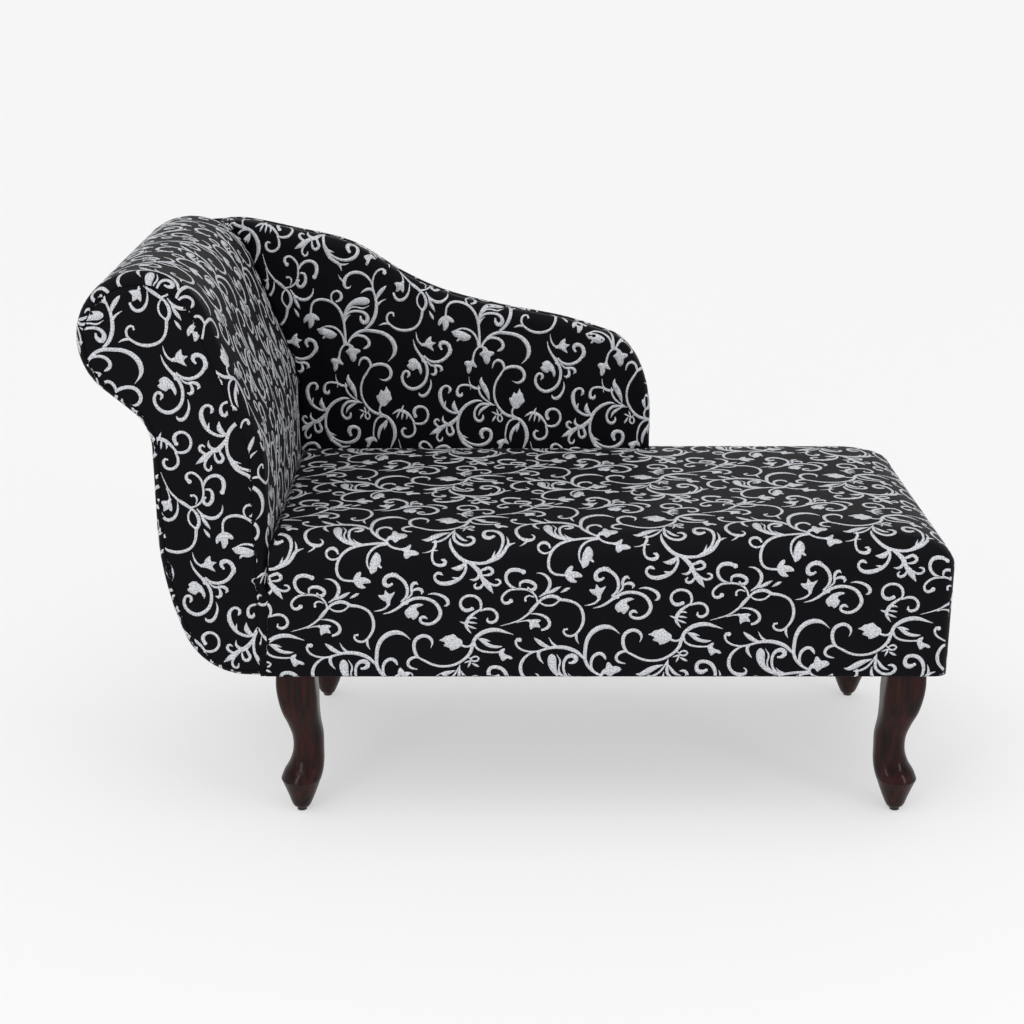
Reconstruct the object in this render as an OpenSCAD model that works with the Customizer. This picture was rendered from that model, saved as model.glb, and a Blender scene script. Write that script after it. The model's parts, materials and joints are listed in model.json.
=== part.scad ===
// Meridienne: a small upholstered chaise longue with a rolled head end, a wavy backboard and cabriole legs.
// +X runs from the head end to the foot end, +Y to the backboard, +Z up. The floor is Z = 0 and the origin
// lies under the middle of the whole piece.

/* [Overall] */
// Length from the outside of the roll to the foot end
overall_l = 1090; // [1000:10:1180]
// Depth from the front to the back
overall_d = 440; // [400:10:480]

/* [Seat] */
// Height of the seat box, from its underside to its top
seat_h = 189; // [175:1:205]
// Rise of the middle of the seat above its edges
seat_crown = 4; // [1:0.5:8]
// Radius of the padded edges of the seat top
seat_edge_r = 40; // [28:1:48]
// Radius of the upright corners at the foot end
seat_corner_r = 16; // [8:1:26]

/* [Head end] */
// Height of the top of the roll above the seat
head_rise = 340; // [320:5:380]
// Radius of the roll
roll_r = 83; // [76:1:90]
// Width of the head end at seat height, from its outer side to its padded inner side
head_w = 138; // [130:1:150]
// How far the roll stands out past the outer side
roll_out = 84; // [78:1:92]
// Lean of the inner side, in degrees from upright
head_lean = 20; // [17:0.5:23]
// Radius where the inner side turns upright
waist_r = 133; // [110:1:150]
// Radius of the hollow under the roll
hollow_r = 60; // [52:1:68]
// Angle round the roll where its underside runs off to the hollow
hollow_angle = 230; // [224:1:236]
// Radius of the long curve low on the outer side
sweep_r = 420; // [380:5:460]
// Turn of that long curve, in degrees
sweep_turn = 21; // [18:0.5:24]
// Radius of the tighter curve into the underside
heel_r = 85; // [75:1:95]
// Radius of the padded front edge on the inner side of the head end
head_edge_in = 16; // [12:0.5:18]
// Radius of the front edge on the outer side of the head end
head_edge_out = 8; // [7:0.5:11]

/* [Backboard] */
// Thickness of the upholstered backboard
back_t = 45; // [41:1:60]
// Place of the backboard's free end, measured back from the foot end
back_setback = 358; // [320:5:420]
// Height of the backboard's shoulder above the seat
back_shoulder = 172; // [150:1:190]
// Width of the round at the free end
back_round_w = 77; // [60:1:90]
// Height of the round at the free end
back_round_h = 125; // [100:1:140]
// How far the backboard's top stays under the top of the roll
back_drop = 8; // [6:0.5:14]
// Radius of the padded top edge of the backboard
back_edge_r = 14; // [10:0.5:16]

/* [Legs] */
// Height of the legs with their glides
leg_h = 209; // [180:1:240]
// Width of the square block at the top of a leg
leg_w = 50; // [46:1:54]
// Distance from the foot end to the leg block
leg_from_foot = 19; // [15:1:30]
// Distance from the head end's front board to the leg block
leg_from_head = 18; // [14:1:40]
// Distance from the front or back of the cover to the leg block
leg_from_face = 11; // [5:0.5:14]
// Diameter of the hanger bolt in each leg
bolt_d = 8; // [6:1:8]
// Thickness of the glide under each sole
glide_t = 3; // [2:0.5:4]

/* [Frame and padding] */
// Thickness of the cover cloth
cloth_t = 1.5; // [1:0.1:1.8]
// Thickness of the rails and of the plywood boards
board_t = 20; // [18:1:22]
// Height of the seat rails
rail_h = 110; // [100:1:116]
// Thickness of the padding on the rails, under the cloth
rail_pad_t = 3.5; // [3:0.1:4.5]
// Thickness of the foam on the head end's inner side
head_foam_t = 15; // [13:0.5:17]
// Thickness of the webbing
web_t = 1.5; // [1.2:0.1:2]
// Width of the webbing
web_w = 50; // [40:1:60]
// Number of cross straps under the seat
cross_straps = 7; // [5:1:8]
// Number of long straps under the seat
long_straps = 3; // [2:1:4]
// Size of the slats in the head end, across the grain
slat_w = 30; // [24:1:32]
// Thickness of those slats
slat_t = 20; // [16:1:22]

/* [Hidden] */

// Gap left between soft pieces, and round bolts and screws
gap = 0.3;
foam_gap = 1.5 * gap;
seat_foam_gap = 3 * gap;
fit = 0.1;
arc_step = 10;

// Long way: ends of the piece and of the seat
x_foot = overall_l / 2;
x_head = -overall_l / 2;
roll_x = x_head + roll_r;
x_outer = x_head + roll_out;
x_inner = x_outer + head_w;

// Across: front, back and the faces of the boards
y_front = -overall_d / 2;
y_back = overall_d / 2;
wrap_t = cloth_t + rail_pad_t;
y_rail = overall_d / 2 - wrap_t;
y_inside = y_rail - board_t;
y_pad = y_back - back_t;

// Heights
dust_t = 1;
z_under = leg_h + dust_t;
z_rail_top = z_under + rail_h;
strap_z = z_rail_top;
hessian_t = 1;
hessian_z = strap_z + 2 * web_t;
foam_z = hessian_z + hessian_t + gap;
z_seat = leg_h + seat_h;
z_roll_top = z_seat + head_rise;
roll_z = z_roll_top - roll_r;

// Head end frame: distances from the cloth's surface inwards
board_in = cloth_t + head_foam_t;
board_out = wrap_t;
x_board = x_inner - board_in;
liner_t = 3;

// Backboard
x_back = x_foot - back_setback;
back_top = z_roll_top - back_drop;
shoulder_z = z_seat + back_shoulder;
roll_end_r = 12;
roll_end_y = y_inside - 9;
rear_edge_least = 2.5;
rear_edge_low = 3;
y_low_rim = y_rail + gap + 0.1;

// Ledgers, blocks and bolts
ledger_h = 40;
ledger_t = 22;
ledger_head = x_outer + 34;
block_h = 40;
block_leg = 85;
block_nose = 26;
bolt_in = 8;
bolt_wood = 42;
bolt_past_nut = 4;
screw_d = 4.5;
screw_head_d = 9;
screw_head_t = 2.6;
bracket_t = 2.5;
nut_flange_d = 20;
nut_flange_t = 1.6;
nut_barrel_d = 11;
nut_barrel_h = 11;

walnut = "#2a1512";
pine = "#d9b98a";
ply = "#c9a878";
foam = "#efe3bd";
cloth = "#1c1c20";
steel = "#a9adb3";
web = "#b09a72";

// Plane geometry

function arc(c, r, from, to, step = arc_step) =
    let (n = max(2, ceil(abs(to - from) / step)))
    [for (i = [0:n]) let (a = from + (to - from) * i / n) c + r * [cos(a), sin(a)]];

function unit(v) = v / norm(v);

function edge_normal(a, b) = unit([b.y - a.y, a.x - b.x]);

function corner_way(p, k) =
    let (n = len(p), a = p[(k + n - 1) % n], b = p[k], c = p[(k + 1) % n])
    let (m = edge_normal(a, b), q = edge_normal(b, c))
    (m + q) / (1 + m * q);

// Moves every point of a counter-clockwise outline inwards by d, one number or one for each point
function inset(p, d) =
    [for (k = [0:len(p) - 1]) p[k] - corner_way(p, k) * (is_list(d) ? d[k] : d)];

// Smooth curve through hand-set points
function spline_at(a, b, c, d, t) =
    0.5 * (2 * b + (c - a) * t + (2 * a - 5 * b + 4 * c - d) * t * t
        + (3 * b - a - 3 * c + d) * t * t * t);

function spline(p, steps) =
    let (last = len(p) - 1)
    concat(
        [for (k = [0:last - 1], i = [0:steps - 1])
            spline_at(p[max(k - 1, 0)], p[k], p[k + 1], p[min(k + 2, last)], i / steps)],
        [p[last]]
    );

function reversed(p) = [for (k = [len(p) - 1:-1:0]) p[k]];

// The same closed line, started at point k
function started_at(p, k) = [for (i = [0:len(p) - 1]) p[(i + k) % len(p)]];

// Six times the volume inside the faces: above zero where they run counter-clockwise seen from outside
function six_volumes(points, faces) =
    let (parts = [for (f = faces, k = [1:len(f) - 2])
        points[f[0]] * cross(points[f[k]], points[f[k + 1]])])
    parts * [for (v = parts) 1];

// Closed solid through rings of points, with a flat end on the first and the last ring
module skin(rings) {
    n = len(rings[0]);
    m = len(rings);
    sides = [for (j = [0:m - 2], k = [0:n - 1])
        let (a = j * n + k, b = j * n + (k + 1) % n)
        each [[a, b, b + n], [a, b + n, a + n]]];
    first = [for (k = [0:n - 1]) n - 1 - k];
    last = [for (k = [0:n - 1]) (m - 1) * n + k];
    points = [for (r = rings) each r];
    faces = concat([first], sides, [last]);
    inside_out = six_volumes(points, faces) > 0;
    polyhedron(points = points, faces = inside_out ? [for (f = faces) reversed(f)] : faces);
}

// A board cut to an outline in X and Z, standing between two places in Y
module upright(outline, y0, y1) {
    translate([0, y1, 0])
        rotate([90, 0, 0])
            linear_extrude(y1 - y0)
                polygon(outline);
}

module box(low, high) {
    translate(low)
        cube(high - low);
}

module screw(length) {
    cylinder(h = length, d = screw_d, $fn = 24);
    translate([0, 0, length])
        cylinder(h = screw_head_t, d = screw_head_d, $fn = 24);
}

// Head end profile

// Places where the straight stretches meet the arcs
function along(p, a) = p.x * cos(a) + p.y * sin(a);

roll_c = [roll_x, roll_z];
waist_x = x_inner - waist_r;
waist_z = (along(roll_c, head_lean) + roll_r - waist_r - waist_x * cos(head_lean)) / sin(head_lean);
hollow_x = x_outer - hollow_r;
hollow_z = (along(roll_c, hollow_angle) + roll_r + hollow_r - hollow_x * cos(hollow_angle))
    / sin(hollow_angle);
heel_x = x_outer + sweep_r * (1 - cos(sweep_turn)) + heel_r * cos(sweep_turn);
heel_z = z_under + heel_r;
sweep_z = heel_z + (sweep_r - heel_r) * sin(sweep_turn);

// One stretch of the profile: points, outward normals and shares. A share runs from 0 on the padded side
// to 1 at the end of the roll, and on to 2 on the outer side below the hollow.
function stretch(c, r, from, to, share0, share1, side = 1) =
    let (n = max(2, ceil(abs(to - from) / arc_step)))
    [for (i = [0:n]) let (t = i / n, a = from + (to - from) * t, way = [cos(a), sin(a)])
        [c + r * way, side * way, share0 + (share1 - share0) * t]];

roll_mid = 70;
inner_side = concat(
    [[[x_inner, foam_z], [1, 0], 0]],
    stretch([waist_x, waist_z], waist_r, 0, head_lean, 0, 0),
    stretch(roll_c, roll_r, head_lean, roll_mid, 0, 0)
);
roll_side = stretch(roll_c, roll_r, roll_mid, hollow_angle, 0, 1);
heel_side = stretch([heel_x, heel_z], heel_r, 180 + sweep_turn, 270, 2, 2);
outer_side = concat(
    stretch([hollow_x, hollow_z], hollow_r, hollow_angle - 180, 0, 1, 1.6, -1),
    stretch([x_outer + sweep_r, sweep_z], sweep_r, 180, 180 + sweep_turn, 1.6, 2),
    [for (k = [1:len(heel_side) - 1]) heel_side[k]]
);

// Value between the padded side's and the outer side's at a point's share
function blend(low, high, share) = low + (high - low) * min(1, share);

function moved(side, d_in, d_out) = [for (s = side) s[0] - s[1] * blend(d_in, d_out, s[2])];

function inner_path() = concat(inner_side, [for (k = [1:len(roll_side) - 1]) roll_side[k]]);

// The whole head end outline, moved inwards by d_in on the padded side and d_out on the other
function head_outline(d_in, d_out) = concat(
    [[x_inner - d_in, z_under + d_out]],
    moved(concat(inner_path(), outer_side), d_in, d_out)
);

// Carries a cross-section along part of the head end profile; section(share) gives points [depth, y]
function swept(side, sections) =
    [for (k = [0:len(side) - 1])
        [for (s = sections[k]) let (p = side[k][0] - side[k][1] * s[0]) [p.x, s[1], p.y]]];

function head_edge(share) = blend(head_edge_in, head_edge_out, share);

// Radius of the rear edge, which fades out towards the underside
function rear_edge(share) = roll_end_r - (roll_end_r - rear_edge_least) * max(0, share - 1);

// The cloth's surface across the head end, t deep: front edge, flat, rear edge down to the backboard
function head_skin(share, t) =
    let (e = head_edge(share), r = e - t, b = rear_edge(share), q = b - t)
    concat(
        [for (a = [0:22.5:90]) [e - r * sin(a), y_front + e - r * cos(a)]],
        [for (a = [0:30:90]) [b - q * cos(a), roll_end_y - b + q * sin(a)]],
        [[b, y_inside - gap]]
    );

// The same surface on the cloth's inner side, where its rear corner is pushed in by the thickness
function head_skin_in(share, t) =
    let (s = head_skin(share, t), last = len(s) - 1)
    [for (k = [0:last]) k >= last - 1 ? [rear_edge(share) + t, s[k][1]] : s[k]];

function cover_section(share) = concat(reversed(head_skin(share, 0)), head_skin_in(share, cloth_t));

function foam_depth(share) = blend(board_in, board_out, share) - 2 * gap;

// How far back a layer d deep can reach inside the rounded rear edge
function rear_limit(share, d) =
    let (b = rear_edge(share), r = b - cloth_t - gap, u = max(0, b - d))
    roll_end_y - b + sqrt(max(0, r * r - u * u));

// The foam under the cloth, with its own front and rear edges
function foam_section(share) =
    let (t = cloth_t + foam_gap, deep = foam_depth(share), e = head_edge(share), b = rear_edge(share))
    let (front = deep < e ? acos((e - deep) / (e - t)) : 90)
    let (rear = deep < b ? acos((b - deep) / (b - t)) : 90)
    concat(
        [[deep + gap, rear_limit(share, deep) - 2 * gap]],
        [for (f = [1, 0.66, 0.33, 0])
            [b - (b - t) * cos(rear * f), roll_end_y - b + (b - t) * sin(rear * f)]],
        [for (f = [0, 0.33, 0.66, 1])
            [e - (e - t) * cos(front * f), y_front + e - (e - t) * sin(front * f)]],
        [[deep + gap, y_front + t + rail_pad_t]]
    );

// Backboard outlines

wave = [
    [0.045, 0.012], [0.11, 0], [0.22, 0.09], [0.342, 0.215], [0.45, 0.48], [0.545, 0.655],
    [0.666, 0.782], [0.804, 0.89]
];
back_span = x_back - roll_x;
round_c = [x_back - back_round_w, shoulder_z - back_round_h];
round_top = 72;

function round_end() =
    [for (a = [0:9:round_top]) round_c + [back_round_w * cos(a), back_round_h * sin(a)]];

// The wavy top from the round end to the roll, seen from the front and running to the left
function wavy_top() =
    let (ends = round_end(), last = ends[len(ends) - 1])
    let (set = [for (w = wave) [roll_x + back_span * w[0], back_top + (shoulder_z - back_top) * w[1]]])
    spline(concat([last], reversed(set)), 3);

// The rear of the head end stands in from the cloth's surface by the radius of its rear edge
roll_join = 100;

function rear_arc() =
    let (part = [for (s = roll_side) if (s[0].x < roll_x + roll_r * cos(roll_join)) s])
    [for (s = concat(part, outer_side)) s[0] - s[1] * rear_edge(s[2])];

// Full outline of the rear, from the top of the backboard and the head end down to the underside
slab_step = 1.5;
slab_ends = [[x_back, z_under], [x_back, z_rail_top + gap], [x_back, z_rail_top + slab_step]];

function slab_outline() = concat(
    slab_ends,
    round_end(),
    [for (k = [1:len(wavy_top()) - 1]) wavy_top()[k]],
    rear_arc(),
    [[x_board, z_under]]
);

// True for a point of that outline beside or under the rear rail
function is_low(p) = p.y <= z_rail_top + gap && p.x >= x_board;

// Front pad of the backboard, from the head end's inner side to the free end, its foot over the brackets.
// Its top ends beside the roll, and its edge grows to its full radius away from the roll and the seat.
pad_foot = z_rail_top + bracket_t + screw_head_t + gap;
pad_from_roll = 40;
pad_side_drop = 12;
pad_edge_drop = 18;
pad_edge_from = 30;
pad_edge_run = 60;
pad_edge_rise = 30;
pad_edge_least = 1.5;

function pad_outline() =
    let (top = [for (p = wavy_top()) if (p.x > roll_x + pad_from_roll) p])
    let (side = [for (s = reversed(inner_side))
        if (s[0].y < back_top - pad_side_drop && s[0].y > pad_foot) s[0] + s[1] * gap])
    concat([[x_back, pad_foot]], round_end(), [for (k = [1:len(top) - 1]) top[k]], side,
        [[x_inner + gap, pad_foot]]);

// Padded edge: full radius along the top and the round end, next to none where the pad is tucked in
function pad_edge(outline) =
    [for (p = outline)
        let (from_left = max(0, p.x - (roll_x + pad_edge_from)) / pad_edge_run)
        let (from_foot = max(0, p.y - z_seat) / pad_edge_rise)
        let (on_top = p.x > x_inner || p.y > back_top - pad_edge_drop ? 1 : 0)
        max(pad_edge_least, back_edge_r * on_top * min(1, from_left) * min(1, from_foot))];

// Seat

function rounded(x0, y0, x1, y1, r, step = 15) = concat(
    arc([x0 + r, y0 + r], r, 180, 270, step),
    arc([x1 - r, y0 + r], r, 270, 360, step),
    arc([x1 - r, y1 - r], r, 0, 90, step),
    arc([x0 + r, y1 - r], r, 90, 180, step)
);

seat_left = x_inner + gap;
crease_r = 12;
crease_corner_r = 3;
y_notch = y_pad - gap;
x_notch = x_back + gap;

// Rounded corners at the foot end, front then rear, for a level line d inside the cloth's surface
function foot_corners(d, rear, r) = concat(
    arc([x_foot - d - r, y_front + d + r], r, 270, 360, 15),
    arc([x_foot - d - r, y_back - rear - r], r, 0, 90, 15)
);

// A ring round the seat, stepping in front of the backboard. t is the depth under the cloth's surface, f how
// far the ring has gone in over the rounded edge, past 1 over the crown. z is a level, or one for each point
step_share = (y_low_rim - y_notch + cloth_t) / (y_back - y_notch);

function seat_ring(z, f, t) =
    let (d = t + seat_edge_r * f, left = seat_left + t + crease_r * f)
    let (rear = t + (seat_edge_r + 4) * f)
    let (x_step = x_notch + (y_back - rear > y_notch - t ? t : -t))
    let (step_out = [x_step, y_back - rear], step_in = [x_step, y_notch - t])
    let (plan = concat(
        arc([left + crease_corner_r, y_front + d + crease_corner_r], crease_corner_r, 180, 270, 30),
        foot_corners(d, rear, seat_corner_r - t + seat_edge_r * 0.4 * f),
        [step_out, step_in + (step_out - step_in) * step_share, step_in, [left, y_notch - t]]
    ))
    [for (k = [0:len(plan) - 1]) [plan[k].x, plan[k].y, is_list(z) ? z[k] : z]];

// The cloth's lower edge: tucked in under the foam beside the head end and the backboard, and at the
// underside everywhere else
seat_points = len(foot_corners(0, 0, seat_corner_r)) + 8;
seat_edge_z = [for (k = [0:seat_points - 1]) k == 0 || k > seat_points - 4 ? foam_z : z_under];

// Rings over the rounded top edge and the crown, for a surface t under the cloth's
function seat_top_rings(t) = concat(
    [for (a = [0:15:90])
        seat_ring(z_seat - seat_crown - t - (seat_edge_r - t) * (1 - sin(a)), 1 - cos(a), t)],
    [for (u = [0.35, 0.7, 1]) seat_ring(z_seat - seat_crown * pow(1 - u, 2) - t, 1 + 1.6 * u, t)]
);

// Legs

leg_form = [
    [1, 1, -1], [0.885, 0.93, -0.99], [0.766, 0.66, -0.95], [0.65, 0.36, -0.88], [0.57, 0.28, -0.86],
    [0.46, 0.45, -0.92], [0.36, 0.77, -0.9], [0.285, 1.02, -0.82]
];
foot_form = [[0.262, 1, -0.77], [0.19, 0.73, -0.62], [0.07, 0.35, -0.37], [0, 0.26, -0.28]];

leg_left_x = x_board + leg_from_head + leg_w / 2;
leg_right_x = x_foot - leg_from_foot - leg_w / 2;
leg_y = y_back - leg_from_face - leg_w / 2;
sole_d = 0.26 * leg_w;

// Ring at one height, in the leg's own frame, where the toe points to +X and +Y
function leg_ring(s) =
    let (half = leg_w / 4 * (s[1] - s[2]), mid = leg_w / 4 * (s[1] + s[2]))
    let (r = half * (0.16 + 0.5 * (1 - min(1, s[0]))), z = glide_t + (leg_h - glide_t) * s[0])
    let (low = mid - half, high = mid + half)
    [for (p = rounded(low, low, high, high, min(r, half * 0.8), 30)) [p.x, p.y, z]];

module leg(x, y, turn_x, turn_y) {
    forms = concat(spline(leg_form, 2), foot_form);
    rings = [for (s = reversed(forms)) [for (p = leg_ring(s)) [x + turn_x * p.x, y + turn_y * p.y, p.z]]];
    color(walnut)
        difference() {
            skin(rings);
            translate([x - turn_x * bolt_in, y - turn_y * bolt_in, leg_h - bolt_wood])
                cylinder(h = bolt_wood + 1, d = bolt_d + 2 * fit, $fn = 32);
        }
}

module leg_front_left() {
    leg(leg_left_x, -leg_y, -1, -1);
}

module leg_front_right() {
    leg(leg_right_x, -leg_y, 1, -1);
}

module leg_rear_left() {
    leg(leg_left_x, leg_y, -1, 1);
}

module leg_rear_right() {
    leg(leg_right_x, leg_y, 1, 1);
}

// The four corners: inner corner of the rails, and the way to the outside
x_block_left = x_board + board_t;
x_rail_foot = x_foot - wrap_t;
x_block_right = x_rail_foot - board_t;
corners = [
    [x_block_left, leg_left_x, -1, -1], [x_block_right, leg_right_x, 1, -1],
    [x_block_left, leg_left_x, -1, 1], [x_block_right, leg_right_x, 1, 1]
];

module at_bolts(z) {
    for (c = corners)
        translate([c[1] - c[2] * bolt_in, c[3] * (leg_y - bolt_in), z])
            children();
}

module hanger_bolts() {
    color(steel)
        at_bolts(leg_h - bolt_wood)
            cylinder(h = bolt_wood + dust_t + block_h + bolt_past_nut, d = bolt_d, $fn = 32);
}

module tee_nuts() {
    color(steel)
        at_bolts(z_under + block_h)
            difference() {
                union() {
                    cylinder(h = nut_flange_t, d = nut_flange_d, $fn = 32);
                    translate([0, 0, -nut_barrel_h])
                        cylinder(h = nut_barrel_h, d = nut_barrel_d, $fn = 32);
                }
                translate([0, 0, -nut_barrel_h - 1])
                    cylinder(h = nut_barrel_h + nut_flange_t + 2, d = bolt_d + 2 * fit, $fn = 32);
            }
}

module leg_glides() {
    color("#d8d8d4")
        for (c = corners)
            translate([c[1], c[3] * leg_y, 0])
                cylinder(h = glide_t, d = sole_d, $fn = 32);
}

// Screws of a block: one into each rail, a little in from the ends of the block's legs
block_screw_in = 15;
block_screw_sunk = 6;
block_screw_at = block_leg - block_screw_in;
block_screw_seat = block_nose + block_screw_in - block_screw_sunk;
screw_bite = 14;
block_screw_z = z_under + block_h / 2;

module block_screw_line(c, first) {
    y_in = c[3] * y_inside;
    if (first)
        translate([c[0] - c[2] * block_screw_at, y_in + c[3] * screw_bite, block_screw_z])
            rotate([c[3] * 90, 0, 0])
                children();
    else
        translate([c[0] + c[2] * screw_bite, y_in - c[3] * block_screw_at, block_screw_z])
            rotate([0, -c[2] * 90, 0])
                children();
}

module corner_blocks() {
    color(pine)
        for (c = corners)
            difference() {
                translate([c[0], c[3] * y_inside, z_under])
                    linear_extrude(block_h)
                        polygon([for (p = [[0, 0], [block_leg, 0], [block_leg, block_nose],
                            [block_nose, block_leg], [0, block_leg]]) [-c[2] * p.x, -c[3] * p.y]]);
                translate([c[1] - c[2] * bolt_in, c[3] * (leg_y - bolt_in), z_under - 1]) {
                    cylinder(h = block_h + 2, d = bolt_d + 2 * fit, $fn = 32);
                    translate([0, 0, block_h + 1 - nut_barrel_h - fit])
                        cylinder(h = nut_barrel_h + 2, d = nut_barrel_d + 2 * fit, $fn = 32);
                }
                for (first = [true, false])
                    block_screw_line(c, first) {
                        cylinder(h = screw_bite + block_leg, d = screw_d + 2 * fit, $fn = 24);
                        translate([0, 0, screw_bite + block_screw_seat])
                            cylinder(h = block_leg, d = screw_head_d + 1, $fn = 24);
                    }
            }
}

module corner_block_screws() {
    color(steel)
        for (c = corners, first = [true, false])
            block_screw_line(c, first)
                screw(screw_bite + block_screw_seat);
}

module block_screw_holes() {
    for (c = corners, first = [true, false])
        block_screw_line(c, first)
            translate([0, 0, -fit])
                cylinder(h = screw_bite + 2, d = screw_d + 2 * fit, $fn = 24);
}

// Seat frame

module long_rail(side) {
    corner = foot_corners(wrap_t, wrap_t, seat_corner_r - wrap_t);
    n = len(corner) / 2;
    color(pine)
        difference() {
            translate([0, 0, z_under])
                linear_extrude(rail_h)
                    polygon(concat(
                        [[x_board, side * y_inside], [x_board, side * y_rail]],
                        side < 0 ? [for (k = [0:n - 1]) corner[k]]
                            : [for (k = [2 * n - 1:-1:n]) corner[k]],
                        [[x_rail_foot, side * y_inside]]
                    ));
            block_screw_holes();
        }
}

module front_seat_rail() {
    long_rail(-1);
}

module rear_seat_rail() {
    long_rail(1);
}

module foot_end_rail() {
    color(pine)
        difference() {
            box([x_block_right, -y_inside, z_under], [x_rail_foot, y_inside, z_rail_top]);
            block_screw_holes();
        }
}

module head_end_rail() {
    color(pine)
        difference() {
            box([x_board, -y_inside, z_under], [x_block_left, y_inside, z_rail_top]);
            block_screw_holes();
            for (side = [-1, 1])
                ledger(side, 1);
        }
}

module ledger(side, extra) {
    y_low = side > 0 ? y_inside - ledger_t : -y_inside - extra;
    y_high = side > 0 ? y_inside + extra : -y_inside + ledger_t;
    box([ledger_head, y_low, z_rail_top - ledger_h], [x_block_right, y_high, z_rail_top + extra]);
}

module front_ledger() {
    color(pine)
        ledger(-1, 0);
}

module rear_ledger() {
    color(pine)
        difference() {
            ledger(1, 0);
            bracket_screw_holes();
        }
}

cross_rail_h = 50;
cross_rail_x = (x_block_left + x_block_right) / 2;

module cross_rail() {
    color(pine)
        box([cross_rail_x - board_t / 2, -y_inside, z_rail_top - ledger_h - cross_rail_h],
            [cross_rail_x + board_t / 2, y_inside, z_rail_top - ledger_h]);
}

// Head end frame

module head_front_board() {
    color(ply)
        difference() {
            upright(head_outline(board_in, board_out), -y_rail, -y_inside);
            slat_screw_holes(-1);
        }
}

liner_deep = liner_t + 0.2;
liner_back = 1;

module head_inner_liner() {
    side = inner_path();
    color("#8a6a48")
        skin(swept(side, [for (s = side)
            let (d = blend(board_in, board_out, s[2]), back = rear_limit(s[2], d) - liner_back)
            [[d, back], [d, gap - y_inside], [d + liner_t, gap - y_inside], [d + liner_t, back]]]));
}

module head_outer_liner() {
    color("#8a6a48")
        skin(swept(outer_side, [for (s = outer_side)
            let (back = rear_limit(s[2], cloth_t + gap) - liner_back)
            let (front = y_front + head_edge_out + gap)
            [[cloth_t + gap, back], [cloth_t + gap, front],
                [board_out - gap, front], [board_out - gap, back]]]));
}

// Each slat: a point of the profile, how far its face lies under the liner, and its tilt follows the profile
function point_on(c, r, a) = [c + r * [cos(a), sin(a)], [cos(a), sin(a)]];

slat_lift = 2.8;
slat_base_lift = 2;
slat_hollow_lift = slat_lift + 6;
slat_back_lift = 5;
seat_slat_drop = 34;
lumbar_slat_rise = 62;
back_slat_drop = 52;
roll_top_at = 88;
roll_outer_at = 150;
hollow_at = hollow_angle - 8;
upper_share = (roll_outer_at - roll_mid) / (hollow_angle - roll_mid);
slat_list = [
    [[[x_board - slat_w / 2 - fit, z_under], [0, -1]], board_out + slat_base_lift],
    [[[x_inner, z_seat - seat_slat_drop], [1, 0]], board_in + liner_deep],
    [[[x_inner, z_seat + lumbar_slat_rise], [1, 0]], board_in + liner_deep],
    [point_on(roll_c, roll_r, head_lean), board_in + liner_deep + slat_lift],
    [point_on(roll_c, roll_r, roll_top_at), board_in + liner_deep + slat_lift],
    [point_on(roll_c, roll_r, roll_outer_at),
        blend(board_in, board_out, upper_share) + liner_deep + slat_lift],
    [point_on(roll_c, roll_r, hollow_at), board_out + liner_deep + slat_hollow_lift],
    [[[x_outer, hollow_z - back_slat_drop], [-1, 0]], board_out + slat_back_lift]
];

module slat(k) {
    s = slat_list[k];
    way = s[0][1];
    place = s[0][0] - way * (s[1] + slat_t / 2);
    translate([place.x, 0, place.y])
        rotate([0, -atan2(way.y, way.x), 0])
            cube([slat_t, 2 * y_inside, slat_w], center = true);
}

module slat_node(k) {
    color(pine)
        difference() {
            slat(k);
            slat_screw_holes(-1);
            slat_screw_holes(1);
        }
}

module head_slat_base() {
    slat_node(0);
}

module head_slat_seat() {
    slat_node(1);
}

module head_slat_lumbar() {
    slat_node(2);
}

module head_slat_shoulder() {
    slat_node(3);
}

module head_slat_roll_top() {
    slat_node(4);
}

module head_slat_roll_outer() {
    slat_node(5);
}

module head_slat_hollow() {
    slat_node(6);
}

module head_slat_back() {
    slat_node(7);
}

slat_screw_l = 45;

// One screw in each end of each slat, its head let into the board
module at_slat_ends(side) {
    for (s = slat_list) {
        place = s[0][0] - s[0][1] * (s[1] + slat_t / 2);
        translate([place.x, side * (y_rail - screw_head_t - slat_screw_l), place.y])
            rotate([-side * 90, 0, 0])
                children();
    }
}

module slat_screw_holes(side) {
    at_slat_ends(side) {
        translate([0, 0, -fit])
            cylinder(h = slat_screw_l + 5, d = screw_d + 2 * fit, $fn = 24);
        translate([0, 0, slat_screw_l - fit])
            cylinder(h = screw_head_t + 2, d = screw_head_d + 2 * fit, $fn = 24);
    }
}

module slat_screws() {
    color(steel)
        for (side = [-1, 1])
            at_slat_ends(side)
                screw(slat_screw_l);
}

// Backboard panel, and the angle brackets that tie it to the rear rail and ledger

panel_outline = inset(slab_outline(), wrap_t);

module backboard_panel() {
    last = len(panel_outline) - 2;
    outline = concat(
        [[x_back - wrap_t, z_rail_top]],
        [for (k = [len(slab_ends):last]) panel_outline[k]],
        [[x_board, panel_outline[last].y], [x_board, z_rail_top]]
    );
    color(ply)
        difference() {
            upright(outline, y_inside, y_rail);
            slat_screw_holes(1);
            bracket_screw_holes();
            for (x = bracket_x)
                box([x - bracket_w / 2 - fit, y_inside - 1, z_rail_top - 1],
                    [x + bracket_w / 2 + fit, y_bracket + bracket_t + fit, z_rail_top + bracket_h + fit]);
        }
}

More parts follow.
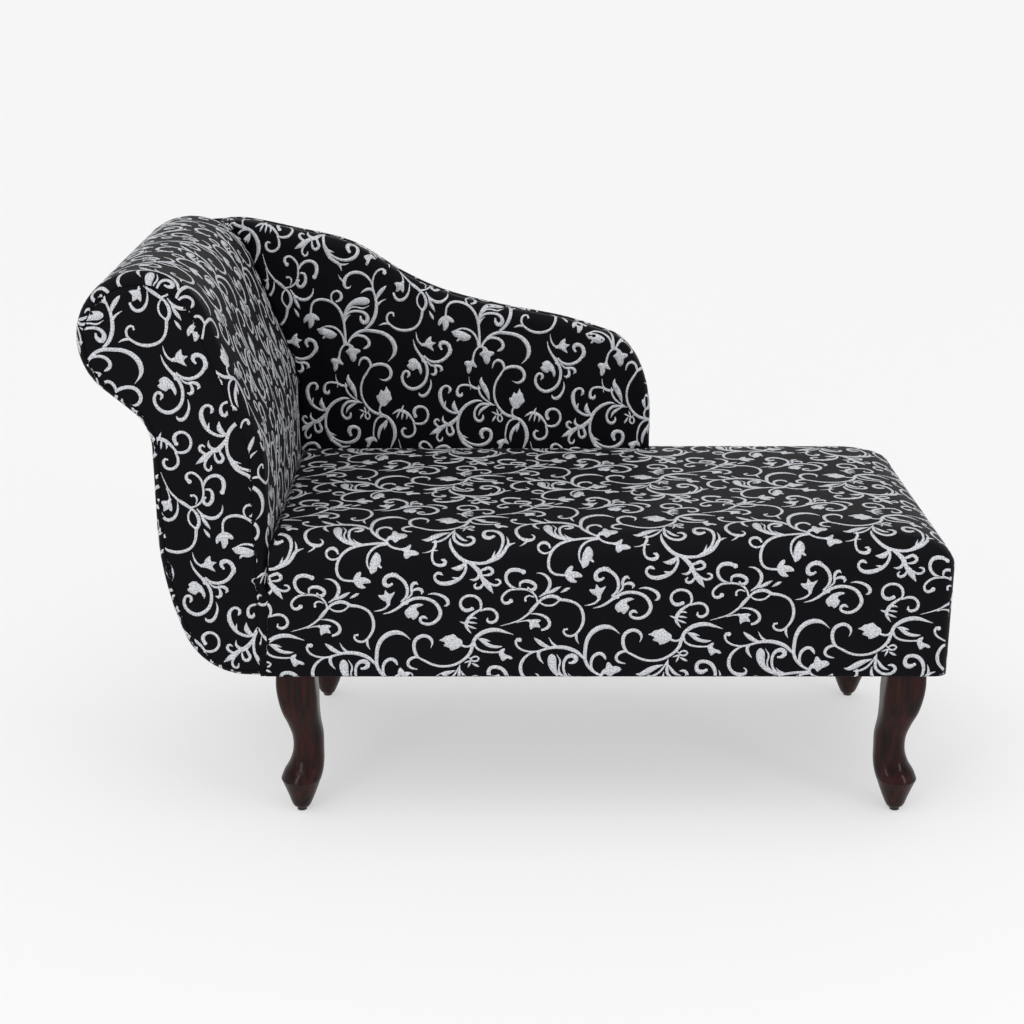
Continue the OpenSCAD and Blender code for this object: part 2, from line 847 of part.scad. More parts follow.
// The brackets are let into the panel, heads and all, and stand between the cross straps
bracket_w = 36;
bracket_h = 70;
bracket_foot = 18;
bracket_end = 8;
y_bracket = y_inside + screw_head_t + gap;
strap_gap = (x_block_right - x_block_left) / cross_straps;
bracket_x = [for (k = [1:cross_straps])
    let (x = x_block_left + strap_gap * k)
    if (x + bracket_w / 2 < x_back - bracket_end) x];
bracket_rise = [24, 54];
bracket_screw_l = 14;

module at_bracket_screws() {
    for (x = bracket_x) {
        for (z = bracket_rise)
            translate([x, y_bracket + bracket_screw_l, z_rail_top + z])
                rotate([90, 0, 0])
                    children();
        translate([x, y_inside - bracket_foot / 2, z_rail_top + bracket_t - bracket_screw_l])
            children();
    }
}

module bracket_screw_holes() {
    at_bracket_screws()
        translate([0, 0, -fit])
            cylinder(h = bracket_screw_l + 1, d = screw_d + 2 * fit, $fn = 24);
}

module angle_brackets() {
    color(steel)
        difference() {
            for (x = bracket_x) {
                box([x - bracket_w / 2, y_bracket, z_rail_top],
                    [x + bracket_w / 2, y_bracket + bracket_t, z_rail_top + bracket_h]);
                box([x - bracket_w / 2, y_inside - bracket_foot, z_rail_top],
                    [x + bracket_w / 2, y_bracket + 0.5, z_rail_top + bracket_t]);
            }
            bracket_screw_holes();
        }
}

module angle_bracket_screws() {
    color(steel)
        at_bracket_screws()
            screw(bracket_screw_l);
}

// Seat suspension

module seat_webbing_long() {
    step = 2 * y_inside / (long_straps + 1);
    color(web)
        for (k = [1:long_straps])
            box([x_board, -y_inside + k * step - web_w / 2, strap_z],
                [x_rail_foot, -y_inside + k * step + web_w / 2, strap_z + web_t]);
}

// Cross straps lie on the long ones, their turned-under ends on the rails and the rear ledger
fold_w = 18;

module seat_webbing_cross() {
    color(web)
        for (k = [0:cross_straps - 1])
            let (x = x_block_left + strap_gap * (k + 0.5), low = x - web_w / 2, high = x + web_w / 2)
            let (back = low > x_back + cloth_t ? y_rail : y_inside - gap) {
                box([low, -y_rail, strap_z + web_t], [high, back, strap_z + 2 * web_t]);
                box([low, -y_rail, strap_z], [high, fold_w - y_rail, strap_z + web_t]);
                box([low, back - fold_w, strap_z], [high, back, strap_z + web_t]);
            }
}

staple_y = 6;
staple_l = 10;
staple_w = 1.2;
staple_h = 0.8;

module webbing_staples() {
    color(steel)
        for (k = [0:cross_straps - 1], f = [-0.3, 0.3])
            let (x = x_block_left + strap_gap * (k + 0.5) + f * web_w)
            box([x - staple_l / 2, staple_y - y_rail, strap_z + 2 * web_t],
                [x + staple_l / 2, staple_y + staple_w - y_rail, strap_z + 2 * web_t + staple_h]);
}

hessian_in = 3;

module seat_hessian() {
    color("#b59a6a")
        box([seat_left + hessian_in, staple_y + hessian_in - y_rail, hessian_z],
            [x_rail_foot - hessian_in, y_notch - hessian_in, hessian_z + hessian_t]);
}

module seat_foam() {
    t = cloth_t + seat_foam_gap;
    color(foam)
        skin(concat([seat_ring(foam_z, 0, t)], seat_top_rings(t)));
}

// Wadding on the front and foot rails and on the free stretch of the rear rail
module rail_padding() {
    near = cloth_t + gap;
    left = seat_left + crease_corner_r + near;
    color("#e8e8e2")
        translate([0, 0, z_under])
            linear_extrude(rail_h)
                polygon(concat(
                    [[left, -y_rail], [left, y_front + near]],
                    foot_corners(near, near, seat_corner_r - near),
                    [[x_notch + near, y_back - near], [x_notch + near, y_rail]],
                    reversed(foot_corners(wrap_t, wrap_t, seat_corner_r - wrap_t))
                ));
}

// Soft pieces of the head end

module head_foam() {
    side = inner_path();
    color(foam)
        skin(swept(side, [for (s = side) foam_section(s[2])]));
}

module head_inside_cover() {
    side = inner_path();
    color(cloth)
        skin(swept(side, [for (s = side) cover_section(s[2])]));
}

module head_outside_cover() {
    color(cloth)
        skin(swept(outer_side, [for (s = outer_side) started_at(cover_section(s[2]), 3)]));
}

// The facing meets the seat cover below the foam, and the rounded inner edge above
function facing_outline() = concat(
    [[x_inner, z_under + head_edge_out + gap], [x_inner, foam_z - gap],
        [x_inner - head_edge_in - gap, foam_z - gap]],
    moved(concat(inner_path(), outer_side), head_edge_in + gap, head_edge_out + gap)
);

module head_facing_board() {
    color(ply)
        upright(facing_outline(), y_front + cloth_t, -y_rail);
}

module head_facing_cover() {
    color(cloth)
        upright(facing_outline(), y_front, y_front + cloth_t);
}

// Soft pieces of the backboard: rings stand in planes across Y

function standing(outline, y) =
    [for (k = [0:len(outline) - 1]) [outline[k].x, is_list(y) ? y[k] : y, outline[k].y]];

function pad_rings(t) =
    let (base = inset(pad_outline(), t), r = pad_edge(pad_outline()))
    let (rise = back_edge_r - t)
    concat(
        [standing(base, y_inside - gap)],
        [for (a = [0:22.5:90])
            standing(inset(base, [for (e = r) max(0.4, e - t) * (1 - cos(a)) + 0.01 * a / 90]),
                y_pad + t + rise * (1 - sin(a)))]
    );

module backboard_foam() {
    color(foam)
        skin(pad_rings(cloth_t + gap));
}

module backboard_front_cover() {
    color(cloth)
        skin(concat(reversed(pad_rings(0)), pad_rings(cloth_t)));
}

rear_edge_r = 12;

// The outside back: flat, with a rounded edge and a rim that ends at the seam with the front, or at the rail
function rear_rings(t) =
    let (slab = slab_outline(), base = inset(slab, t))
    let (rise = [for (p = slab) (is_low(p) ? rear_edge_low : rear_edge_r) - t])
    concat(
        [standing(base, [for (p = slab) is_low(p) ? y_low_rim : y_inside])],
        [for (a = [0:22.5:90])
            standing(inset(base, [for (r = rise) r * (1 - cos(a))]),
                [for (r = rise) y_back - t - r * (1 - sin(a))])]
    );

module backboard_rear_padding() {
    outline = inset(slab_outline(), rear_edge_r);
    color("#e8e8e2")
        upright(outline, y_rail, y_back - cloth_t - gap);
}

module backboard_rear_cover() {
    color(cloth)
        skin(concat(reversed(rear_rings(0)), rear_rings(cloth_t)));
}

// Seat cover: over the foam and down the rails

module seat_cover() {
    color(cloth)
        skin(concat(
            reversed(seat_top_rings(cloth_t)),
            [seat_ring(seat_edge_z, 0, cloth_t), seat_ring(seat_edge_z, 0, 0)],
            seat_top_rings(0)
        ));
}

dust_in = 12;
dust_past_heel = 4;

module dust_cover() {
    color("#26262a")
        difference() {
            box([heel_x - dust_past_heel, y_front + dust_in, leg_h],
                [x_foot - dust_in, y_back - dust_in, z_under]);
            at_bolts(leg_h - 1)
                cylinder(h = dust_t + 2, d = bolt_d + 2 * fit, $fn = 32);
        }
}

front_seat_rail();
rear_seat_rail();
foot_end_rail();
head_end_rail();
cross_rail();
front_ledger();
rear_ledger();
corner_blocks();
corner_block_screws();
head_front_board();
head_slat_base();
head_slat_seat();
head_slat_lumbar();
head_slat_shoulder();
head_slat_roll_top();
head_slat_roll_outer();
head_slat_hollow();
head_slat_back();
slat_screws();
head_inner_liner();
head_outer_liner();
backboard_panel();
angle_brackets();
angle_bracket_screws();
seat_webbing_long();
seat_webbing_cross();
webbing_staples();
seat_hessian();
seat_foam();
rail_padding();
head_foam();
backboard_foam();
backboard_rear_padding();
seat_cover();
head_inside_cover();
head_outside_cover();
head_facing_board();
head_facing_cover();
backboard_front_cover();
backboard_rear_cover();
dust_cover();
leg_front_left();
leg_front_right();
leg_rear_left();
leg_rear_right();
hanger_bolts();
tee_nuts();
leg_glides();
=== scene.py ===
"""Looks of the meridienne: upholstery in a woven scroll cloth, and lacquered cabriole legs.

Every size is in millimetres until a mesh is made, and every mesh is in metres, in the frame of the
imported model: +X to the foot end, +Y to the backboard, +Z up.
"""

import json
import math

import bmesh
import bpy
import numpy as np
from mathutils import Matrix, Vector, geometry


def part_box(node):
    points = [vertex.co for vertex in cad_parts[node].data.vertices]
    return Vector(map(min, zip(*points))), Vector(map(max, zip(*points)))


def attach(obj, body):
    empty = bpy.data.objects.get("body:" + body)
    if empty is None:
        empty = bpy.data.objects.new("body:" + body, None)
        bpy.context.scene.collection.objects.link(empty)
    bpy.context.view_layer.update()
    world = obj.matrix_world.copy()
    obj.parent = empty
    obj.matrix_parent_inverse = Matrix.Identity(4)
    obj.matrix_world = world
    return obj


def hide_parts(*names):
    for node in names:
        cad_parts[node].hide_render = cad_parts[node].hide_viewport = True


bl_info = {
    "name": "Meridienne upholstery",
    "version": (1, 0, 0),
    "blender": (4, 5, 0),
    "location": "View3D > Sidebar > Meridienne",
    "description": "Builds the covers, the woven scrolls, the legs and the stage of a small meridienne",
    "category": "Object",
}

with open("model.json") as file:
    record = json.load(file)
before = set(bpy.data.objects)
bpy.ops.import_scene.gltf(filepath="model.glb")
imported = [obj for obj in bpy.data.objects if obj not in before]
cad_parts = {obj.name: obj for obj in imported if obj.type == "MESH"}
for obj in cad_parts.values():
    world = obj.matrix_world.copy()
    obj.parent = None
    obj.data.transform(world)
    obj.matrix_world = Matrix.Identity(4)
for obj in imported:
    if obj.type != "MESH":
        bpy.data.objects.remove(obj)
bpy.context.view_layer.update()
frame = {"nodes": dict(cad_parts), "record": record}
MM = 0.001


def box_corner(node, high=False):
    """The low or the high corner of a CAD node's box, in millimetres."""
    return np.array(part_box(node)[1 if high else 0]) / MM


# Main planes, read from the frame
X_LEFT, Y_FRONT, Z_UNDER = box_corner("seat_cover")
X_FOOT, Y_BACK, Z_SEAT = box_corner("seat_cover", True)
X_BACK = box_corner("backboard_rear_cover", True)[0]
Y_PAD = box_corner("backboard_front_cover")[1]
Y_INSIDE = box_corner("backboard_panel")[1]
FOAM_Z = box_corner("seat_foam")[2]
LEG_H = box_corner("leg_front_left", True)[2]
GLIDE_T = box_corner("leg_glides", True)[2]

# Head end in front view. The arcs, which the frame's boxes don't give, are x, z and radius
X_INNER, X_OUTER = -323.0, -461.0
ROLL = (-462.0, 655.0, 83.0)
WAIST = (-456.0, 492.3, 133.0)
HOLLOW = (-521.0, 517.8, 60.0)
SWEEP = (-41.0, 415.05, 420.0)
HEEL = (-353.75, 295.0, 85.0)
# Where one arc gives way to the next, in degrees
LEAN, ROLL_MID, ROLL_END, SWEEP_TURN = 20.0, 70.0, 230.0, 21.0
# Rounding towards the facing, on the padded side and on the outer side
EDGE_IN, EDGE_OUT = 16.0, 8.0
# Rounding of the cover's rear edge, and what of it is gone at the underside
EDGE_REAR, EDGE_REAR_FADE = 12.0, 9.5
ROLL_END_Y = Y_INSIDE - 9

# Seat: rounding of the top edge and of the upright corners, and how far the middle stands up
SEAT_EDGE_R, SEAT_CORNER_R, SEAT_CROWN = 40.0, 16.0, 3.0
# The rear edge is rounded a little further in
REAR_MORE = 4.0
# The foot end's top edge is rounded further in than the front's, and its side stands out a little
FOOT_EDGE, FOOT_BULGE, FOOT_TAPER = 66.0, 5.0, 6.0
# How far the top stays clear of the crease, and how far the front seam leans to the left at its lower end
CREASE, SEAM_LEAN = 12.0, 9.5
# The cloth lies a little closer in depth on the level seat and the head end than on the upright faces
SEAT_EASE, HEAD_EASE = 1.114, 1.247
# Room between the seat cover and the backboard
CLEAR = 0.3

# Backboard: its shoulder at the free end, and its wavy top as shares of the way from the roll to the free end
# and of the drop from the highest point to the shoulder
BACK_TOP, SHOULDER_Z = Z_SEAT + 332.0, Z_SEAT + 172.0
SHOULDER_W, SHOULDER_H = 77.0, 125.0
WAVE = ((0.045, 0.012), (0.11, 0), (0.22, 0.09), (0.342, 0.215), (0.45, 0.48), (0.545, 0.655),
        (0.666, 0.782), (0.804, 0.89))

# Most that stuffing moves a cover outwards, on the head end and elsewhere, and inwards
SWELL_HEAD, SWELL, MOST_INWARD = 2.5, 3.0, 0.3
# How far the dust cloth hangs in the middle
SAG = 3.0

# Studio: brightness of the wall at floor level, the overhead light's spread and turn in degrees, the two
# upright soft boxes as name, place in metres, width and share of the fill's power, and the spot they face
HORIZON = 0.93
SUN_SPREAD, SUN_TURN = 70, (16, -8)
SOFT_BOXES = (("left_window", (-1.6, -2.6, 1.5), 0.7, 1.0), ("right_window", (2.2, -1.8, 1.2), 0.5, 0.7))
AIM = (0, 0, 0.3)
FLOOR_SIDE = 60000.0
# Camera: where its axis stands along X in metres, and its film width and focal length in mm
CAMERA_X, FILM, FOCAL = -0.014, 36, 64.993


# Plane geometry


def unit(v):
    return v / np.maximum(np.linalg.norm(v, axis=-1, keepdims=True), 1e-9)


def spline(points, steps):
    """A smooth curve through set points, with any number of values a point."""
    p = np.array(points, float)
    q = np.vstack([p[:1], p, p[-1:]])
    out = []
    for k in range(len(p) - 1):
        a, b, c, d = q[k : k + 4]
        for t in np.arange(steps) / steps:
            out.append(0.5 * (2 * b + (c - a) * t + (2 * a - 5 * b + 4 * c - d) * t * t
                              + (3 * b - a - 3 * c + d) * t**3))
    return np.array(out + [p[-1]])


def lengths(path):
    """How far along a line each of its points lies."""
    return np.concatenate([[0], np.cumsum(np.linalg.norm(np.diff(path[:, :2], axis=0), axis=1))])


def respaced(path, step, closed=False):
    """The same line with points a step apart, all their values carried along."""
    p = np.vstack([path, path[:1]]) if closed else np.array(path, float)
    run = lengths(p)
    count = max(2, int(round(run[-1] / step)))
    at = np.linspace(0, run[-1], count + 1)
    out = np.stack([np.interp(at, run, p[:, k]) for k in range(p.shape[1])], 1)
    return out[:-1] if closed else out


def ring_normals(p):
    """Outward normals of a counter-clockwise closed line, longer at a corner, so that an inset stays
    parallel."""
    before, after = p - np.roll(p, 1, 0), np.roll(p, -1, 0) - p
    m = unit(np.stack([before[:, 1], -before[:, 0]], 1))
    q = unit(np.stack([after[:, 1], -after[:, 0]], 1))
    return (m + q) / np.maximum(1 + (m * q).sum(1, keepdims=True), 0.4)


def inside(points, ring):
    """Which points lie inside a closed line."""
    x, y = points[:, 0], points[:, 1]
    found = np.zeros(len(points), bool)
    for (ax, ay), (bx, by) in zip(ring, np.roll(ring, -1, 0)):
        if ay == by:
            continue
        hit = (ay > y) != (by > y)
        found ^= hit & (x < (bx - ax) * (y - ay) / (by - ay) + ax)
    return found


def distance_to(points, ring):
    """Distance from each point to the nearest point of a line."""
    return np.sqrt(((points[:, None, :2] - ring[None, :, :2]) ** 2).sum(2).min(1))


# Meshes


def mesh_object(name, points, faces, uvs=None, smooth=True):
    """An object at the origin with its place in its mesh. points in mm; uvs in mm, one for each face
    corner."""
    mesh = bpy.data.meshes.new(name)
    mesh.from_pydata((np.array(points, float) * MM).tolist(), [], faces)
    if uvs is not None:
        layer = mesh.uv_layers.new(name="cloth")
        layer.data.foreach_set("uv", (np.array(uvs, float) * MM).ravel())
    mesh.polygons.foreach_set("use_smooth", [smooth] * len(mesh.polygons))
    mesh.update()
    made = bpy.data.objects.new(name, mesh)
    bpy.context.scene.collection.objects.link(made)
    return made


def grid_faces(rows, columns, start=0):
    """Quads of a grid whose points run column by column inside each row."""
    k = np.arange((rows - 1) * (columns - 1))
    a = start + k // (columns - 1) * columns + k % (columns - 1)
    return np.stack([a, a + 1, a + columns + 1, a + columns], 1).tolist()


def outward(made):
    """Turns the faces of a closed mesh outwards, after its doubles are merged."""
    work = bmesh.new()
    work.from_mesh(made.data)
    bmesh.ops.remove_doubles(work, verts=work.verts, dist=1e-6)
    bmesh.ops.recalc_face_normals(work, faces=work.faces)
    work.to_mesh(made.data)
    work.free()
    return made


def outward_down(made):
    """Turns the faces of an open sheet so that its outer side looks down."""
    if sum(p.normal.z * p.area for p in made.data.polygons) > 0:
        made.data.flip_normals()
    return made


def co_of(made):
    """Places of a mesh's points, in metres."""
    co = np.zeros(len(made.data.vertices) * 3)
    made.data.vertices.foreach_get("co", co)
    return co.reshape(-1, 3)


def set_co(made, co):
    made.data.vertices.foreach_set("co", co.astype(np.float32).ravel())
    made.data.update()


def normals_of(made):
    n = np.zeros(len(made.data.vertices) * 3)
    made.data.vertices.foreach_get("normal", n)
    return n.reshape(-1, 3)


def wobble(co, size, seed):
    """Soft noise between -1 and 1, the same in every run. co in metres, size in metres."""
    rng = np.random.default_rng(seed)
    total = np.zeros(len(co))
    for _ in range(7):
        way = unit(rng.normal(size=3))
        total += np.sin(co @ way * (2 * math.pi / size) * rng.uniform(0.6, 1.5) + rng.uniform(0, 6.3))
    return total / 7 * 1.6


def stuffed(made, hold, swell, frames=16, pressure=4.0):
    """Blows the open skin out against its held points with the cloth solver, and caps the move at swell
    mm. hold is 1 where a point is tacked down and 0 where it is free."""
    rest = co_of(made)
    group = made.vertex_groups.new(name="tacked")
    for k in np.nonzero(hold > 0.02)[0]:
        group.add([int(k)], float(hold[k]), "REPLACE")
    cloth = made.modifiers.new("stuffing", "CLOTH")
    s = cloth.settings
    s.quality, s.mass = 5, 0.3
    s.tension_stiffness = s.compression_stiffness = 18
    s.shear_stiffness, s.bending_stiffness = 8, 2.5
    s.use_pressure, s.uniform_pressure_force = True, pressure
    s.effector_weights.gravity = 0
    s.vertex_group_mass = "tacked"
    cloth.collision_settings.use_collision = False
    scene = bpy.context.scene
    cloth.point_cache.frame_start, cloth.point_cache.frame_end = 1, frames
    for f in range(1, frames + 1):
        scene.frame_set(f)
    done = made.evaluated_get(bpy.context.evaluated_depsgraph_get())
    co = np.array([v.co for v in done.data.vertices])
    made.modifiers.remove(cloth)
    made.vertex_groups.remove(group)
    scene.frame_set(1)
    move = co - rest
    out = normals_of(made)
    too_far_in = np.minimum(0, (move * out).sum(1) + MOST_INWARD * MM)
    move -= out * too_far_in[:, None]
    size = np.linalg.norm(move, axis=1)
    cap = swell * MM * np.tanh(size / (swell * MM)) * (1 - hold * 0.98)
    set_co(made, rest + move * (cap / np.maximum(size, 1e-9))[:, None])
    return made


def skin_of_cloth(made, thickness=1.5):
    """Gives an open cover its thickness inwards, with closed edges."""
    edge = made.modifiers.new("thickness", "SOLIDIFY")
    edge.thickness, edge.offset = thickness * MM, -1
    edge.use_rim = True
    bpy.context.view_layer.update()
    done = bpy.data.meshes.new_from_object(made.evaluated_get(bpy.context.evaluated_depsgraph_get()))
    made.modifiers.clear()
    made.data = done
    return made


def dress(made, material, replaces=()):
    """Material, body and stood-for nodes of a finished piece."""
    made.data.materials.clear()
    made.data.materials.append(material)
    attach(made, "root")
    if replaces:
        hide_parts(*replaces)
    return made


# Head end profile


def head_profile(step=7.0):
    """Rows of x, z, normal x, normal z, share along the head end, from the crease up the padded side,
    over the roll and down the outer side to the underside. Share: 0 padded, 1 end of the roll, 2 below."""
    rows = []

    def put(p, n, share):
        rows.append([p[0], p[1], n[0], n[1], share])

    def line(p, n, share, count):
        start = np.array(rows[-1][:2])
        for k in range(1, count + 1):
            put(start + (np.array(p) - start) * k / count, n, share)

    def bend(c, a0, a1, s0, s1, side=1):
        count = max(2, math.ceil(abs(math.radians(a1 - a0)) * c[2] / step))
        for k in range(count + 1):
            t = k / count
            a = math.radians(a0 + (a1 - a0) * t)
            way = np.array([math.cos(a), math.sin(a)])
            put(np.array(c[:2]) + c[2] * way, side * way, s0 + (s1 - s0) * t)

    put((X_INNER, Z_UNDER), (1, 0), 0)
    line((X_INNER, FOAM_Z), (1, 0), 0, 16)
    line((X_INNER, WAIST[1]), (1, 0), 0, 24)
    bend(WAIST, 0, LEAN, 0, 0)
    lean = (math.cos(math.radians(LEAN)), math.sin(math.radians(LEAN)))
    line((ROLL[0] + ROLL[2] * lean[0], ROLL[1] + ROLL[2] * lean[1]), lean, 0, 20)
    bend(ROLL, LEAN, ROLL_MID, 0, 0)
    bend(ROLL, ROLL_MID, ROLL_END, 0, 1)
    bend(HOLLOW, ROLL_END - 180, 0, 1, 1.6, -1)
    line((X_OUTER, SWEEP[1]), (-1, 0), 1.6, 13)
    bend(SWEEP, 180, 180 + SWEEP_TURN, 1.6, 2)
    bend(HEEL, 180 + SWEEP_TURN, 270, 2, 2)
    line((X_INNER - 11, Z_UNDER), (0, -1), 2, 3)
    rows = np.array(rows)
    keep = np.concatenate([[True], np.linalg.norm(np.diff(rows[:, :2], axis=0), axis=1) > 0.05])
    return rows[keep]


def front_edge(share):
    """Rounding towards the facing at a share along the head end."""
    return EDGE_IN + (EDGE_OUT - EDGE_IN) * np.minimum(1, share)


def rear_edge(share):
    """Rounding of the cover's rear edge, which fades out down the outer side."""
    return EDGE_REAR - EDGE_REAR_FADE * np.maximum(0, share - 1)


# Points across the cover: over the front edge, on the flat, and over the rear edge with one more behind it
FRONT_ARC, ACROSS, REAR_ARC = 9, 48, 7
# Below the seat only the columns up to the front edge's end go on down
STRIP = FRONT_ARC - 1


def swept_cover(name, profile, ease=1.0):
    """Cover carried along the head end profile: rows along the profile, columns from the front seam to the
    rear. Below the seat only a narrow strip at the front goes on down. Returns the object and its hold
    weights."""
    along = lengths(profile)
    points, uvs, hold = [], [], []
    columns = FRONT_ARC + ACROSS - 2 + REAR_ARC + 1
    for (x, z, nx, nz, share), run in zip(profile, along):
        e, b = front_edge(share), rear_edge(share)
        a = np.linspace(0, math.pi / 2, FRONT_ARC)
        front = np.stack([e - e * np.sin(a), Y_FRONT + e - e * np.cos(a)], 1)
        flat = np.linspace(Y_FRONT + e, ROLL_END_Y - b, ACROSS)[1:-1]
        flat = np.stack([flat * 0, flat], 1)
        a = np.linspace(0, math.pi / 2, REAR_ARC)
        rear = np.stack([b - b * np.cos(a), ROLL_END_Y - b + b * np.sin(a)], 1)
        section = np.vstack([front, flat, rear, [[b, Y_INSIDE]]])
        if share == 0 and z < FOAM_Z + 1:
            section[: STRIP + 1, 1] = np.minimum(section[: STRIP + 1, 1], Y_FRONT + 0.8)
        across = lengths(section)
        for (d, y), w in zip(section, across):
            points.append((x - nx * d, y, z - nz * d))
            uvs.append(((w - across[STRIP] + Y_FRONT + e) * ease, run))
        near = np.minimum(across, across[-1] - across)
        hold.append(np.clip(1 - near / 30, 0, 1) ** 0.7)
    hold = np.array(hold)
    ends = np.minimum(along, along[-1] - along)
    hold = np.maximum(hold, np.clip(1 - ends / 24, 0, 1)[:, None])
    faces = np.array(grid_faces(len(profile), columns))
    low = profile[faces[:, 3] // columns, 1] < FOAM_Z + 1
    hidden = low & (profile[faces[:, 3] // columns, 4] == 0) & (faces[:, 1] % columns > STRIP)
    faces = faces[~hidden]
    used, faces = np.unique(faces, return_inverse=True)
    faces = faces.reshape(-1, 4).tolist()
    corner = np.array(uvs)[used]
    made = mesh_object(name, np.array(points)[used], faces, [corner[k] for f in faces for k in f])
    return made, hold.ravel()[used]


# Flat panels with a rounded edge


def panel(name, outline, rings, radius, facing, rim_y, face_y, crown=0.0, spacing=8.0, flare=0.0):
    """A panel standing in X and Z. rings are angles over the rounded edge, radius its size at each outline
    point, facing -1 towards the front or +1 towards the rear. The rim starts at rim_y and the flat is face_y.
    flare pushes the rim outwards, where it is tucked behind another cover."""
    base = np.array(outline, float)
    normals = ring_normals(base)
    radius = np.broadcast_to(radius, len(base)).astype(float)
    rise = np.max(radius)
    layers, flats = [], []
    inner = base - normals * radius[:, None]
    # Rings over the rounded edge, each with its place in the cloth's flat plan, and the rim before them
    for a in rings:
        inset = radius * (1 - math.cos(a))
        arc = (math.pi / 2 - a) * radius
        layers.append(np.column_stack([base - normals * inset[:, None],
                                       np.full(len(base), face_y - facing * rise * (1 - math.sin(a)))]))
        flats.append(inner + normals * arc[:, None])
    rim = np.column_stack([base + normals * np.reshape(flare, (-1, 1)), np.full(len(base), rim_y)])
    layers.insert(0, rim)
    drop = abs(layers[1][:, 2] - rim_y)
    flats.insert(0, flats[0] + normals * drop[:, None])
    n = len(base)
    last = layers[-1][:, :2]
    low, high = last.min(0), last.max(0)
    # The flat: points in offset rows inside the last ring, joined by triangles
    xs, zs = np.meshgrid(np.arange(low[0], high[0], spacing), np.arange(low[1], high[1], spacing))
    xs = xs + (np.arange(len(zs)) % 2)[:, None] * spacing / 2
    fill = np.column_stack([xs.ravel(), zs.ravel()])
    fill = fill[inside(fill, last)]
    fill = fill[distance_to(fill, last) > spacing * 0.55]
    flat = np.vstack([last, fill])
    edges = [(k, (k + 1) % n) for k in range(n)]
    found = geometry.delaunay_2d_cdt([Vector(p) for p in flat], edges, [list(range(n))], 1, 1e-5)
    out_points = np.array([tuple(v) for v in found[0]])
    if len(out_points) != len(flat):
        raise RuntimeError(f"{name}: the outline crosses itself")
    order = [ids[0] for ids in found[3]]
    away = distance_to(flat, last) if crown else np.zeros(len(flat))
    height = crown * (1 - np.clip(1 - away / 90, 0, 1) ** 2)
    points, uvs = [], []
    for layer, uv in zip(layers[:-1], flats[:-1]):
        points.extend((x, y, z) for x, z, y in layer)
        uvs.extend(uv)
    start = len(points)
    points.extend((x, face_y + facing * h, z) for (x, z), h in zip(flat, height))
    uvs.extend(flat)
    faces = []
    for j in range(len(layers) - 1):
        for k in range(n):
            a, b = j * n + k, j * n + (k + 1) % n
            faces.append([a, b, b + n, a + n])
    faces.extend([[start + order[k] for k in f] for f, ids in zip(found[2], found[5]) if ids])
    uvs = np.array(uvs)
    if facing > 0:
        faces = [f[::-1] for f in faces]
        uvs[:, 0] *= -1
    made = mesh_object(name, points, faces, [uvs[k] for f in faces for k in f])
    hold = np.ones(len(points))
    hold[start:] = np.clip(1 - distance_to(flat, last) / 40, 0, 1)
    return made, hold


def wavy_top(step=7.0):
    """The backboard's free end and wavy top, from the rail level up and on to the roll."""
    low = [(X_BACK, z) for z in np.arange(Z_SEAT - 70, SHOULDER_Z - SHOULDER_H, 8)]
    a = np.radians(np.arange(0, 73, 3))
    end = np.column_stack([X_BACK - SHOULDER_W + SHOULDER_W * np.cos(a),
                           SHOULDER_Z - SHOULDER_H + SHOULDER_H * np.sin(a)])
    span = X_BACK - ROLL[0]
    hand = [(ROLL[0] + span * u, BACK_TOP + (SHOULDER_Z - BACK_TOP) * w) for u, w in WAVE]
    top = spline([end[-1]] + hand[::-1], 8)
    return respaced(np.vstack([low, end, top[1:]]), step)


def backboard_outlines(profile):
    """Outlines of the front pad, with its edge radius and rim flare at each point, and of the outside
    back."""
    top = wavy_top()
    foot = FOAM_Z + 1.5
    pad_top = top[top[:, 0] > ROLL[0] + 36]
    side = profile[(profile[:, 4] == 0) & (profile[:, 1] < BACK_TOP - 12) & (profile[:, 1] > foot + 4)]
    side = (side[:, :2] + side[:, 2:4] * 0.3)[::-1]
    base = np.linspace((X_INNER + 0.3, foot), (X_BACK, foot), 64)
    pad_top = pad_top[pad_top[:, 1] > foot + 4]
    pad = np.vstack([base, pad_top, side[side[:, 1] < pad_top[-1][1] - 6]])
    left = np.clip((pad[:, 0] - ROLL[0] - 54) / 60, 0, 1)
    up = np.clip((pad[:, 1] - Z_SEAT) / 30, 0, 1)
    free = np.arange(len(pad)) < len(base) + len(pad_top)
    radius = np.maximum(1.5, 14 * free * left * up)
    rear = profile[(profile[:, 0] < ROLL[0] - 14) | (profile[:, 4] > 0.4)]
    rear = rear[:, :2] - rear[:, 2:4] * rear_edge(rear[:, 4])[:, None]
    rear = rear[(rear[:, 1] > Z_UNDER + 0.5) | (rear[:, 0] < HEEL[0] - 1)]
    r = 14
    low = np.linspace((rear[-1][0] + 6, Z_UNDER), (X_BACK - r, Z_UNDER), 76)
    a = np.radians(np.arange(-75, 0, 15))
    turn = np.column_stack([X_BACK - r + r * np.cos(a), Z_UNDER + r + r * np.sin(a)])
    rise = [(X_BACK, z) for z in np.arange(Z_UNDER + r, top[0][1] - 3, 7)]
    back = np.vstack([low, turn, rise, top, rear])
    return pad, radius, 10.0 * ~free, respaced(back, 6.5, closed=True)


# Seat


# Steps of the grid over the top, along and in depth, and of half an upright corner
SEAT_NX, SEAT_NY, CORNER_STEPS = 112, 44, 4


def corner_arc(x, y, radius, start, end):
    """Points round half an upright corner; x and y are its middle and the angles are in degrees."""
    a = np.radians(np.linspace(start, end, CORNER_STEPS + 1))
    return np.column_stack([x + radius * np.cos(a), y + radius * np.sin(a)])


